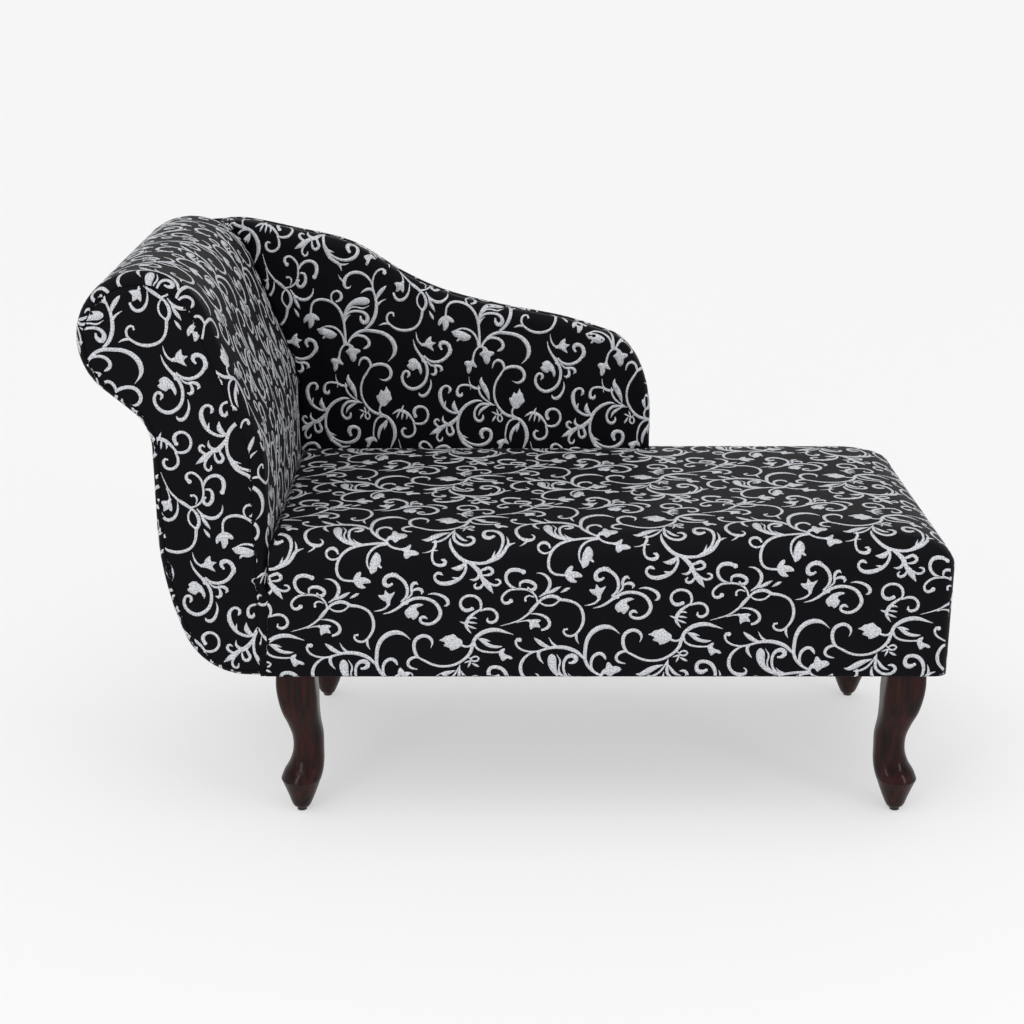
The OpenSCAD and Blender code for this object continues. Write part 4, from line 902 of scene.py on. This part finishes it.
def scroll_tree():
    """Node tree that repeats the flat tile over the cloth's own flat plan, drops what falls outside the cut,
    and lays the rest on the cover by its plan."""
    tree = bpy.data.node_groups.new("lay_scrolls", "GeometryNodeTree")
    face = tree.interface
    for name, kind in (("Cover", "NodeSocketObject"), ("Tile", "NodeSocketObject"),
                       ("Repeats across", "NodeSocketInt"), ("Repeats along", "NodeSocketInt"),
                       ("Repeat across", "NodeSocketFloat"), ("Repeat along", "NodeSocketFloat"),
                       ("Start", "NodeSocketVector"), ("Turn", "NodeSocketVector"),
                       ("Height", "NodeSocketFloat"), ("Sink", "NodeSocketFloat"),
                       ("Thread", "NodeSocketMaterial")):
        face.new_socket(name, in_out="INPUT", socket_type=kind)
    face.new_socket("Geometry", in_out="OUTPUT", socket_type="NodeSocketGeometry")
    given = tree.nodes.new("NodeGroupInput").outputs
    step = add(tree, "ShaderNodeCombineXYZ", {"X": given["Repeat across"]})
    columns = add(tree, "GeometryNodeMeshLine", {"Count": given["Repeats across"], "Offset": step.outputs[0]})
    step = add(tree, "ShaderNodeCombineXYZ", {"Y": given["Repeat along"]})
    rows = add(tree, "GeometryNodeMeshLine", {"Count": given["Repeats along"], "Offset": step.outputs[0]})
    tile = add(tree, "GeometryNodeObjectInfo", {"Object": given["Tile"]})
    row = add(tree, "GeometryNodeInstanceOnPoints",
              {"Points": columns.outputs[0], "Instance": tile.outputs["Geometry"]})
    field = add(tree, "GeometryNodeInstanceOnPoints", {"Points": rows.outputs[0], "Instance": row.outputs[0]})
    real = add(tree, "GeometryNodeRealizeInstances", {"Geometry": field.outputs[0]})
    placed = add(tree, "GeometryNodeTransform", {"Geometry": real.outputs[0], "Translation": given["Start"],
                                                 "Rotation": given["Turn"]})
    cover = add(tree, "GeometryNodeObjectInfo", {"Object": given["Cover"]})
    here = add(tree, "GeometryNodeInputPosition")
    kept = add(tree, "GeometryNodeStoreNamedAttribute",
               {"Geometry": placed.outputs[0], "Value": here.outputs[0]}, {"Name": "cloth"},
               data_type="FLOAT2", domain="CORNER")

    def sampled(value):
        """The cover's value at the place in its plan where a point of the tile lies."""
        plan = add(tree, "GeometryNodeInputNamedAttribute", None, {"Name": "cloth"}, data_type="FLOAT_VECTOR")
        return add(tree, "GeometryNodeSampleUVSurface",
                   {"Mesh": cover.outputs["Geometry"], "Value": value.outputs[0], "UV Map": plan.outputs[0],
                    "Sample UV": here.outputs[0]}, data_type="FLOAT_VECTOR")

    place = sampled(add(tree, "GeometryNodeInputPosition"))
    normal = sampled(add(tree, "GeometryNodeInputNamedAttribute", None, {"Name": "outward"},
                         data_type="FLOAT_VECTOR"))
    outside = add(tree, "FunctionNodeBooleanMath", {0: place.outputs["Is Valid"]}, operation="NOT")
    cut = add(tree, "GeometryNodeDeleteGeometry",
              {"Geometry": kept.outputs[0], "Selection": outside.outputs[0]}, domain="POINT")
    level = add(tree, "ShaderNodeSeparateXYZ", {0: here.outputs[0]})
    lift = add(tree, "ShaderNodeMath", {0: level.outputs["Z"], 1: given["Height"]}, operation="MULTIPLY")
    lift = add(tree, "ShaderNodeMath", {0: lift.outputs[0], 1: given["Sink"]}, operation="SUBTRACT")
    unit_way = add(tree, "ShaderNodeVectorMath", {0: normal.outputs["Value"]}, operation="NORMALIZE")
    raised = add(tree, "ShaderNodeVectorMath", {0: unit_way.outputs[0], "Scale": lift.outputs[0]},
                 operation="SCALE")
    total = add(tree, "ShaderNodeVectorMath", {0: place.outputs["Value"], 1: raised.outputs[0]},
                operation="ADD")
    moved = add(tree, "GeometryNodeSetPosition", {"Geometry": cut.outputs[0], "Position": total.outputs[0]})
    painted = add(tree, "GeometryNodeSetMaterial",
                  {"Geometry": moved.outputs[0], "Material": given["Thread"]})
    add(tree, "NodeGroupOutput", {"Geometry": painted.outputs[0]})
    return tree


# How deep the yarn's underside lies in the ground cloth
SINK = 0.12


def woven_scrolls(name, cover, start, turn, thread, repeat_across, repeat_along, height):
    """Lays the scroll tile on a cover's outer skin. start is a point of the cover's plan, in mm, where a
    tile's corner falls, and turn the tile's turn in degrees."""
    mesh = cover.data
    outward_way = mesh.attributes.new("outward", "FLOAT_VECTOR", "POINT")
    outward_way.data.foreach_set("vector", normals_of(cover).astype(np.float32).ravel())
    uv = np.zeros(len(mesh.loops) * 2)
    mesh.uv_layers["cloth"].data.foreach_get("uv", uv)
    uv = uv.reshape(-1, 2) / MM
    a = math.radians(turn)
    across, along = np.array([math.cos(a), math.sin(a)]), np.array([-math.sin(a), math.cos(a)])
    local = np.stack([(uv - start) @ across, (uv - start) @ along], 1)
    low = np.floor(local.min(0) / [repeat_across, repeat_along]) - 1
    high = np.ceil(local.max(0) / [repeat_across, repeat_along])
    corner = np.array(start) + across * low[0] * repeat_across + along * low[1] * repeat_along
    holder = bpy.data.objects.new(name, bpy.data.meshes.new(name))
    bpy.context.scene.collection.objects.link(holder)
    work = holder.modifiers.new("scrolls", "NODES")
    work.node_group = bpy.data.node_groups.get("lay_scrolls") or scroll_tree()
    values = {"Cover": cover, "Tile": bpy.data.objects["scroll_tile"],
              "Repeats across": int(high[0] - low[0]) + 1, "Repeats along": int(high[1] - low[1]) + 1,
              "Repeat across": repeat_across * MM, "Repeat along": repeat_along * MM,
              "Start": (corner[0] * MM, corner[1] * MM, 0), "Turn": (0, 0, a),
              "Height": height * MM, "Sink": SINK * MM, "Thread": thread}
    # By identifier, and before anything is evaluated
    for item in work.node_group.interface.items_tree:
        if item.item_type == "SOCKET" and item.in_out == "INPUT":
            work[item.identifier] = values[item.name]
    bpy.context.view_layer.update()
    done = bpy.data.meshes.new_from_object(holder.evaluated_get(bpy.context.evaluated_depsgraph_get()))
    holder.modifiers.clear()
    holder.data = done
    done.name = name
    if len(done.polygons) < 50:
        raise RuntimeError(f"{name}: no scroll fell on the cover")
    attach(holder, "root")
    return holder


# Materials


def linear(text):
    """sRGB hex to linear RGBA."""
    values = [int(text[k : k + 2], 16) / 255 for k in (1, 3, 5)]
    return tuple([v / 12.92 if v <= 0.04045 else ((v + 0.055) / 1.055) ** 2.4 for v in values] + [1.0])


def surface(name):
    """An empty material, its node tree and its shader."""
    made = bpy.data.materials.new(name)
    made.use_nodes = True
    return made, made.node_tree, made.node_tree.nodes["Principled BSDF"]


def set_even(shader, **numbers):
    """Sets numbers that are the same all over a surface on the shader's own sockets."""
    for name, number in numbers.items():
        shader.inputs[name.replace("_", " ")].default_value = number


def show_pattern(tree, shader, shade, relief, tones, stops, strength, depth):
    """Base colour that runs between two tones with the pattern shade, and bump depth mm deep from relief."""
    ramp = add(tree, "ShaderNodeValToRGB", {"Fac": shade})
    for stop, place, tone in zip(ramp.color_ramp.elements, stops, tones):
        stop.position, stop.color = place, linear(tone)
    bump = add(tree, "ShaderNodeBump", {"Height": relief}, {"Strength": strength, "Distance": depth * MM})
    tree.links.new(ramp.outputs["Color"], shader.inputs["Base Color"])
    tree.links.new(bump.outputs["Normal"], shader.inputs["Normal"])


def woven_height(tree, pitch):
    """Height of a plain weave with threads pitch mm apart, in the cloth's own plan, and that plan. A wave
    texture of scale 1 has 20 / (2 pi) waves in a metre, and a wave is two threads."""
    plan = add(tree, "ShaderNodeUVMap", uv_map="cloth").outputs["UV"]
    scale = 1 / (pitch * MM) / 20 * math.pi
    waves = [add(tree, "ShaderNodeTexWave", {"Vector": plan}, {"Scale": scale, "Distortion": 0.4},
                 bands_direction=way, wave_profile="SIN") for way in ("X", "Y")]
    both = add(tree, "ShaderNodeMath", {0: waves[0].outputs["Fac"], 1: waves[1].outputs["Fac"]},
               operation="MULTIPLY")
    return both.outputs[0], plan


def ground_cloth(dark, light, pitch):
    """Jacquard ground: a tight weave of black filament yarn, nearly matt, with a faint satin sheen at grazing
    angles. Its threads are drawn at pitch mm, about twice as coarse as the real 0.4 mm, so that they show."""
    made, tree, shader = surface("jacquard_ground")
    height, plan = woven_height(tree, pitch)
    # Painted light: faint clouds of about 25 mm where light falls unevenly on the weave, laid on the threads'
    # tops, with painted shade in the dips between the threads
    painted_light_noise = add(tree, "ShaderNodeTexNoise", {"Vector": plan}, {"Scale": 38, "Detail": 4})
    painted_light_and_shade = add(tree, "ShaderNodeMath", {0: painted_light_noise.outputs["Fac"], 1: height}, {2: 0.12},
                operation="MULTIPLY_ADD")
    show_pattern(tree, shader, painted_light_and_shade.outputs[0], height, (dark, light), (0.1, 0.75), 0.35, 0.15)
    set_even(shader, Roughness=0.55, Specular_IOR_Level=0.07, Sheen_Weight=0.03, Sheen_Roughness=0.35)
    return made


def scroll_thread(dark, light, pitch):
    """Raised weft floats of silver-grey satin yarn: bright and softly glossy, with fine ribs whose tops are
    painted lighter, and a painted mottle of highlights of about 2 mm where the floats catch the light."""
    made, tree, shader = surface("silver_float_yarn")
    height, plan = woven_height(tree, pitch)
    # Painted highlights: a mottle of about 2 mm, added to painted light on the rib tops
    painted_light_noise = add(tree, "ShaderNodeTexNoise", {"Vector": plan}, {"Scale": 520, "Detail": 3})
    painted_light_and_shade = add(tree, "ShaderNodeMath", {0: height, 2: painted_light_noise.outputs["Fac"]}, {1: 0.3},
                operation="MULTIPLY_ADD")
    show_pattern(tree, shader, painted_light_and_shade.outputs[0], painted_light_and_shade.outputs[0], (dark, light), (0.44, 0.76), 0.35, 0.15)
    set_even(shader, Roughness=0.42, Specular_IOR_Level=0.5, Sheen_Weight=0.12, Sheen_Roughness=0.4)
    return made


def grained(name, tones, stops, scale, detail, stretch, strength, depth):
    """A material whose tones and bump follow noise, scale patches to a metre, squeezed by stretch along the
    piece's own axes. Returns it and its shader."""
    made, tree, shader = surface(name)
    coords = add(tree, "ShaderNodeTexCoord")
    place = add(tree, "ShaderNodeMapping", {"Vector": coords.outputs["Object"]}, {"Scale": stretch})
    noise = add(tree, "ShaderNodeTexNoise", {"Vector": place.outputs["Vector"]},
                {"Scale": scale, "Detail": detail}).outputs["Fac"]
    show_pattern(tree, shader, noise, noise, tones, stops, strength, depth)
    return made, shader


def lacquered_mahogany(dark, light):
    """Mahogany-stained beech under gloss lacquer: near black with red-brown in the light, with grain up the
    leg about 7 mm wide and 90 mm long, and finer lines in it."""
    made, shader = grained("lacquered_mahogany", (dark, light), (0.35, 0.72), 1.6, 6, (90, 90, 7), 0.06, 0.4)
    set_even(shader, Roughness=0.35, Specular_IOR_Level=0.05, Coat_Weight=0.35, Coat_IOR=1.42,
             Coat_Roughness=0.1)
    return made


# Finish of every carried-over node, by the record's slot: name, two tones, patches in a metre, roughness,
# metallic, and how the patches are squeezed along X, Y and Z
HIDDEN_FINISH = {
    "softwood": ("sawn_pine", "#c79f6c", "#e2c698", 9, 0.7, 0, (1, 12, 12)),
    "plywood": ("birch_plywood", "#b98f5e", "#d8b98a", 7, 0.65, 0, (3, 30, 3)),
    "liner_board": ("bent_board", "#74583c", "#957350", 60, 0.75, 0, (1, 1, 1)),
    "foam": ("polyurethane_foam", "#e2d3a4", "#f2e8c8", 900, 0.9, 0, (1, 1, 1)),
    "wadding": ("polyester_wadding", "#dcdcd6", "#f0f0ec", 160, 0.95, 0, (1, 1, 1)),
    "webbing": ("jute_webbing", "#9a7f55", "#bfa478", 700, 0.85, 0, (1, 1, 1)),
    "hessian": ("hessian_cloth", "#a2875a", "#c4aa7c", 600, 0.9, 0, (1, 1, 1)),
    "steel": ("zinc_plated_steel", "#8f9499", "#b4b9be", 260, 0.38, 1, (1, 1, 1)),
    "glide_plastic": ("nylon_glide", "#1c1412", "#2a201c", 220, 0.45, 0, (1, 1, 1)),
    "dust_cloth": ("spunbond_dust_cloth", "#15151a", "#24242b", 420, 0.9, 0, (1, 1, 1)),
}


def hidden_finish(slot):
    """The material of a carried-over node, or of the piece that stands for it."""
    name, dark, light, scale, roughness, metallic, stretch = HIDDEN_FINISH[slot]
    made, shader = grained(name, (dark, light), (0.35, 0.65), scale, 5, stretch, 0.3, 0.15)
    set_even(shader, Roughness=roughness, Metallic=metallic)
    return made


# Settings


class MeridienneCloth(bpy.types.PropertyGroup):
    """Sizes and colours of the scroll cloth."""

    repeat_along: bpy.props.FloatProperty(
        name="Repeat along", description="Length of one repeat of the vine", default=0.2685,
        min=0.1, max=0.5, unit="LENGTH")
    repeat_across: bpy.props.FloatProperty(
        name="Repeat across", description="Width of one repeat of the vine", default=0.192,
        min=0.1, max=0.4, unit="LENGTH")
    height: bpy.props.FloatProperty(
        name="Scroll height", description="How far the scroll yarn stands above the ground", default=0.0005,
        min=0.0001, max=0.001, unit="LENGTH")
    pitch: bpy.props.FloatProperty(
        name="Thread pitch", description="Distance between threads, as drawn", default=0.0009,
        min=0.0003, max=0.003, unit="LENGTH")


class MeridienneStage(bpy.types.PropertyGroup):
    """Light, floor and camera."""

    camera_height: bpy.props.FloatProperty(
        name="Camera height", description="Height of the lens above the floor", default=1.1889, unit="LENGTH")
    camera_distance: bpy.props.FloatProperty(
        name="Camera distance", description="How far in front of the middle the lens stands",
        default=2.4101, unit="LENGTH")
    camera_pitch: bpy.props.FloatProperty(
        name="Camera pitch", description="How far the camera looks down", default=math.radians(19.003),
        subtype="ANGLE")
    sky: bpy.props.FloatProperty(name="Sky", description="Strength of the even light", default=0.56)
    key: bpy.props.FloatProperty(
        name="Key", description="Strength of the overhead soft light", default=1.3)
    paper: bpy.props.FloatProperty(
        name="Paper", description="Glow of the backlit floor paper", default=0.465)
    fill: bpy.props.FloatProperty(
        name="Fill", description="Power of the two upright soft boxes", default=11.0, unit="POWER")


def settings():
    """The cloth's settings and the stage's."""
    return bpy.context.scene.meridienne_cloth, bpy.context.scene.meridienne_stage


def cloth_materials():
    """The ground's material and the yarn's, made once."""
    pitch = settings()[0].pitch / MM
    ground = bpy.data.materials.get("jacquard_ground") or ground_cloth("#050508", "#0e0e16", pitch)
    thread = bpy.data.materials.get("silver_float_yarn") or scroll_thread("#9698a0", "#eaebee", pitch)
    return ground, thread


def lay(name, cover, start, turn):
    """Scrolls of the set sizes on a cover."""
    cloth = settings()[0]
    return woven_scrolls(name, cover, start, turn, cloth_materials()[1], cloth.repeat_across / MM,
                         cloth.repeat_along / MM, cloth.height / MM)


# Where a corner of the tile falls in each cover's plan, in mm, and how far the tile is turned
LAY = {
    "seat": ((-18.2, -461.1), 91.7),
    "inside": ((-40.0, 60.0), -7.3),
    "outside": ((-40.0, 20.0), 0.0),
    "facing": ((-569.8, 201.6), 4.5),
    "backboard": ((-320.4, 408.2), -1.1),
    "rear": ((0.0, 400.0), 0.0),
}


class MERIDIENNE_OT_scroll_tile(bpy.types.Operator):
    """Draw one repeat of the vine"""

    bl_idname = "meridienne.scroll_tile"
    bl_label = "Scroll tile"

    def execute(self, context):
        scroll_tile()
        return {"FINISHED"}


class MERIDIENNE_OT_seat(bpy.types.Operator):
    """Build the seat cover and its scrolls"""

    bl_idname = "meridienne.seat"
    bl_label = "Seat"

    def execute(self, context):
        seat, hold = seat_skin("seat_upholstery")
        stuffed(seat, hold, SWELL)
        lay("seat_scrolls", seat, *LAY["seat"])
        dress(skin_of_cloth(seat), cloth_materials()[0], ["seat_cover", "seat_foam"])
        return {"FINISHED"}


class MERIDIENNE_OT_head(bpy.types.Operator):
    """Build the head end's covers, its front facing and their scrolls"""

    bl_idname = "meridienne.head"
    bl_label = "Head end"

    def execute(self, context):
        profile = head_profile()
        last = int(np.nonzero(profile[:, 4] >= 1)[0][0])
        ground = cloth_materials()[0]
        inner, hold = swept_cover("head_inside_upholstery", profile[: last + 1], HEAD_EASE)
        stuffed(inner, hold, SWELL_HEAD)
        lay("head_inside_scrolls", inner, *LAY["inside"])
        dress(skin_of_cloth(inner), ground, ["head_inside_cover"])
        outer, hold = swept_cover("head_outside_upholstery", profile[last:])
        lay("head_outside_scrolls", outer, *LAY["outside"])
        dress(skin_of_cloth(outer), ground, ["head_outside_cover"])
        rows = respaced(profile[(profile[:, 1] > FOAM_Z) | (profile[:, 4] > 0)], 5.0)
        # The facing fills the outline that the covers' rounded front edges leave free
        edge = front_edge(rows[:, 4]) + 0.2
        line = rows[:, :2] - rows[:, 2:4] * edge[:, None]
        line = line[(line[:, 0] < X_INNER - EDGE_IN - 3) | (line[:, 1] > Z_UNDER + EDGE_OUT + 2)]
        low_z = Z_UNDER + EDGE_OUT
        low = np.linspace((line[-1][0] + 4, low_z), (X_INNER - EDGE_IN, low_z), 4)
        outline = respaced(np.vstack([line, low]), 4.5, closed=True)
        face, _ = panel("head_facing_upholstery", outline, np.radians([0, 45, 90]), 1.2, -1,
                        Y_FRONT + 2.5, Y_FRONT, 1.2, 9.0)
        lay("head_facing_scrolls", face, *LAY["facing"])
        dress(skin_of_cloth(face), ground, ["head_facing_cover"])
        return {"FINISHED"}


class MERIDIENNE_OT_backboard(bpy.types.Operator):
    """Build the backboard's padded front, the outside back and their scrolls"""

    bl_idname = "meridienne.backboard"
    bl_label = "Backboard"

    def execute(self, context):
        pad, radius, flare, back = backboard_outlines(head_profile(5.0))
        ground = cloth_materials()[0]
        angles = np.radians([0, 18, 36, 54, 72, 90])
        front, hold = panel("backboard_upholstery", pad, angles, radius, -1, Y_INSIDE - 0.4, Y_PAD, 0.0, 9.0,
                            flare)
        stuffed(front, hold, SWELL)
        lay("backboard_scrolls", front, *LAY["backboard"])
        dress(skin_of_cloth(front), ground, ["backboard_front_cover"])
        # Nearly square beside the seat, and rounded above it
        round_edge = 2 + 10 * np.clip((back[:, 1] - Z_SEAT - 5) / 40, 0, 1)
        rear, _ = panel("outside_back_upholstery", back, angles, round_edge, 1, Y_INSIDE + 0.4, Y_BACK, 0.0,
                        10.0)
        lay("outside_back_scrolls", rear, *LAY["rear"])
        dress(skin_of_cloth(rear), ground, ["backboard_rear_cover"])
        return {"FINISHED"}


# Leg sections: share of the height, how far the corner edge and the inner edge stand out from the middle in
# half widths, and how round the section is. The values are rounded from a fit to the outline of the legs in
# the photo
LEG_FORM = (
    (1, 1, -1, 0.16), (0.9, 1.05, -1.05, 0.3), (0.8, 1, -1.1, 0.45), (0.7, 0.85, -1.1, 0.55),
    (0.6, 0.6, -1.15, 0.7), (0.5, 0.4, -1.25, 0.75), (0.4, 0.4, -1.25, 0.8), (0.32, 0.6, -1.25, 0.85),
    (0.26, 0.9, -1.2, 0.9), (0.215, 1.05, -1.1, 0.95),
)
FOOT_FORM = ((0.215, 1.05, -1.1, 0.95), (0.2, 1, -1.05, 0.95), (0.1, 0.7, -0.75, 1), (0.03, 0.5, -0.5, 1),
             (0.01, 0.35, -0.4, 1), (0, 0.25, -0.3, 1))
# Width of the leg's top block, how far its middle lies from the leg's outermost side, and points round it
LEG_W, LEG_MIDDLE, LEG_AROUND = 50.0, 25.5, 40


def leg_skin(name, x, y, turn_x, turn_y):
    """A cabriole leg: rounded-square sections, each pushed out along the corner."""
    forms = np.vstack([spline(LEG_FORM, 6), spline(FOOT_FORM, 4)[1:]])
    around, rings = LEG_AROUND, []
    a = np.linspace(0, 2 * math.pi, around, endpoint=False) + math.pi / 4
    c, s = np.cos(a), np.sin(a)
    for share, outer, inner, round_share in forms:
        half, mid = LEG_W / 4 * (outer - inner), LEG_W / 4 * (outer + inner)
        # From nearly square at the block to a circle at the foot
        power = 2 + 9 * (1 - min(1, round_share)) ** 2
        reach = (abs(c) ** power + abs(s) ** power) ** (-1 / power)
        z = GLIDE_T + (LEG_H - GLIDE_T) * share
        rings.append(np.column_stack([x + turn_x * (mid + half * reach * c),
                                      y + turn_y * (mid + half * reach * s), np.full(around, z)]))
    faces = []
    for j in range(len(rings) - 1):
        for k in range(around):
            a, b = j * around + k, j * around + (k + 1) % around
            faces.append([a, b, b + around, a + around])
    faces.append(list(range(around)))
    faces.append([(len(rings) - 1) * around + k for k in range(around)])
    return outward(mesh_object(name, np.vstack(rings), faces))


class MERIDIENNE_OT_legs(bpy.types.Operator):
    """Carve the four cabriole legs"""

    bl_idname = "meridienne.legs"
    bl_label = "Legs"

    def execute(self, context):
        wood = lacquered_mahogany("#0d0404", "#330f0a")
        for node, turn_x, turn_y in (("leg_front_left", -1, -1), ("leg_front_right", 1, -1),
                                     ("leg_rear_left", -1, 1), ("leg_rear_right", 1, 1)):
            low, high = box_corner(node), box_corner(node, True)
            x = low[0] + LEG_MIDDLE if turn_x < 0 else high[0] - LEG_MIDDLE
            y = low[1] + LEG_MIDDLE if turn_y < 0 else high[1] - LEG_MIDDLE
            made = leg_skin(node.replace("leg", "cabriole_leg"), x, y, turn_x, turn_y)
            dress(made, wood, [node])
        return {"FINISHED"}


class MERIDIENNE_OT_frame(bpy.types.Operator):
    """Give the frame, the fillings and the fixings their materials"""

    bl_idname = "meridienne.frame"
    bl_label = "Frame materials"

    def execute(self, context):
        slots = {row["node"]: row["material_slot"] for row in frame["record"]["subparts"]}
        made = {}
        for name, node in frame["nodes"].items():
            slot = slots.get(name)
            if slot in HIDDEN_FINISH:
                if slot not in made:
                    made[slot] = hidden_finish(slot)
                node.data.materials.clear()
                node.data.materials.append(made[slot])
        return {"FINISHED"}


class MERIDIENNE_OT_dust_cover(bpy.types.Operator):
    """Stretch the dust cover under the frame"""

    bl_idname = "meridienne.dust_cover"
    bl_label = "Dust cover"

    def execute(self, context):
        low, high = box_corner("dust_cover"), box_corner("dust_cover", True)
        nx, ny = 90, 42
        x, y = np.meshgrid(np.linspace(low[0], high[0], nx), np.linspace(low[1], high[1], ny))
        x, y = x.ravel(), y.ravel()
        # It is tacked to the rails round its edge, and hangs free inside them
        off_x = np.clip((np.minimum(x - low[0], high[0] - x) - 20) / 110, 0, 1)
        off_y = np.clip((np.minimum(y - low[1], high[1] - y) - 60) / 90, 0, 1)
        free = (off_x * off_y) ** 0.8
        spots = np.column_stack([x, y, np.zeros(len(x))])
        sag = free * (SAG + 0.6 * wobble(spots * MM, 0.16, 5))
        spots[:, 2] = high[2] - 0.4 - sag
        faces = [f[::-1] for f in grid_faces(ny, nx)]
        cloth = outward_down(mesh_object("dust_cloth_sheet", spots, faces))
        dress(skin_of_cloth(cloth, 0.6), hidden_finish("dust_cloth"), ["dust_cover"])
        return {"FINISHED"}


def studio_world(sky):
    """An even white room, brighter at floor level."""
    world = bpy.data.worlds.new("studio")
    world.use_nodes = True
    back = world.node_tree.nodes["Background"]
    back.inputs["Color"].default_value = (1, 1, 1, 1)
    way = add(world.node_tree, "ShaderNodeTexCoord")
    height = add(world.node_tree, "ShaderNodeSeparateXYZ", {0: way.outputs["Generated"]})
    glow = add(world.node_tree, "ShaderNodeMapRange", {"Value": height.outputs["Z"]},
               {"From Min": 0.03, "From Max": 0.6, "To Min": HORIZON, "To Max": sky})
    world.node_tree.links.new(glow.outputs["Result"], back.inputs["Strength"])
    return world


class MERIDIENNE_OT_stage(bpy.types.Operator):
    """Lay the floor and set the lights and the camera"""

    bl_idname = "meridienne.stage"
    bl_label = "Stage"

    def execute(self, context):
        stage = settings()[1]
        scene = context.scene
        scene.view_settings.view_transform = "Standard"
        side = FLOOR_SIDE
        floor = mesh_object("floor", [(-side, -side, 0), (side, -side, 0), (side, side, 0), (-side, side, 0)],
                            [[0, 1, 2, 3]], smooth=False)
        paper, _, shader = surface("floor_paper")
        set_even(shader, Base_Color=linear("#b4b4b4"), Roughness=0.95, Specular_IOR_Level=0.0,
                 Emission_Color=linear("#ffffff"), Emission_Strength=stage.paper)
        floor.data.materials.append(paper)
        scene.world = studio_world(stage.sky)

        def placed(kind, data):
            """A light or the camera, in the scene."""
            made = bpy.data.objects.new(kind, data)
            scene.collection.objects.link(made)
            return made

        sun = bpy.data.lights.new("overhead", "SUN")
        sun.energy, sun.angle = stage.key, math.radians(SUN_SPREAD)
        placed("overhead", sun).rotation_euler = (*map(math.radians, SUN_TURN), 0)
        for name, spot, size, share in SOFT_BOXES:
            light = bpy.data.lights.new(name, "AREA")
            light.shape, light.size, light.size_y = "RECTANGLE", size, size * 2
            light.energy = stage.fill * share
            lamp = placed(name, light)
            lamp.location = spot
            lamp.rotation_euler = (Vector(AIM) - Vector(spot)).to_track_quat("-Z", "Y").to_euler()
        lens = bpy.data.cameras.new("camera")
        lens.sensor_width, lens.lens, lens.clip_end = FILM, FOCAL, 200
        camera = placed("camera", lens)
        camera.location = (CAMERA_X, -stage.camera_distance, stage.camera_height)
        camera.rotation_euler = (math.pi / 2 - stage.camera_pitch, 0, 0)
        scene.camera = camera
        return {"FINISHED"}


class MERIDIENNE_PT_panel(bpy.types.Panel):
    """Lists the steps and their settings"""

    bl_label = "Meridienne"
    bl_idname = "MERIDIENNE_PT_panel"
    bl_space_type = "VIEW_3D"
    bl_region_type = "UI"
    bl_category = "Meridienne"

    def draw(self, context):
        for group in settings():
            for name in group.bl_rna.properties.keys():
                if name not in ("rna_type", "name"):
                    self.layout.prop(group, name)
        for step in STEPS:
            self.layout.operator(step.bl_idname)


STEPS = (MERIDIENNE_OT_scroll_tile, MERIDIENNE_OT_seat, MERIDIENNE_OT_head, MERIDIENNE_OT_backboard,
         MERIDIENNE_OT_legs, MERIDIENNE_OT_frame, MERIDIENNE_OT_dust_cover, MERIDIENNE_OT_stage)
CLASSES = (MeridienneCloth, MeridienneStage, *STEPS, MERIDIENNE_PT_panel)


def register():
    for kind in CLASSES:
        bpy.utils.register_class(kind)
    bpy.types.Scene.meridienne_cloth = bpy.props.PointerProperty(type=MeridienneCloth)
    bpy.types.Scene.meridienne_stage = bpy.props.PointerProperty(type=MeridienneStage)


def unregister():
    del bpy.types.Scene.meridienne_cloth
    del bpy.types.Scene.meridienne_stage
    for kind in reversed(CLASSES):
        bpy.utils.unregister_class(kind)


def main():
    register()
    for step in (bpy.ops.meridienne.scroll_tile, bpy.ops.meridienne.seat, bpy.ops.meridienne.head,
                 bpy.ops.meridienne.backboard, bpy.ops.meridienne.legs, bpy.ops.meridienne.frame,
                 bpy.ops.meridienne.dust_cover, bpy.ops.meridienne.stage):
        step()
    bpy.data.objects.remove(bpy.data.objects["scroll_tile"])


if __name__ == "__main__":
    main()
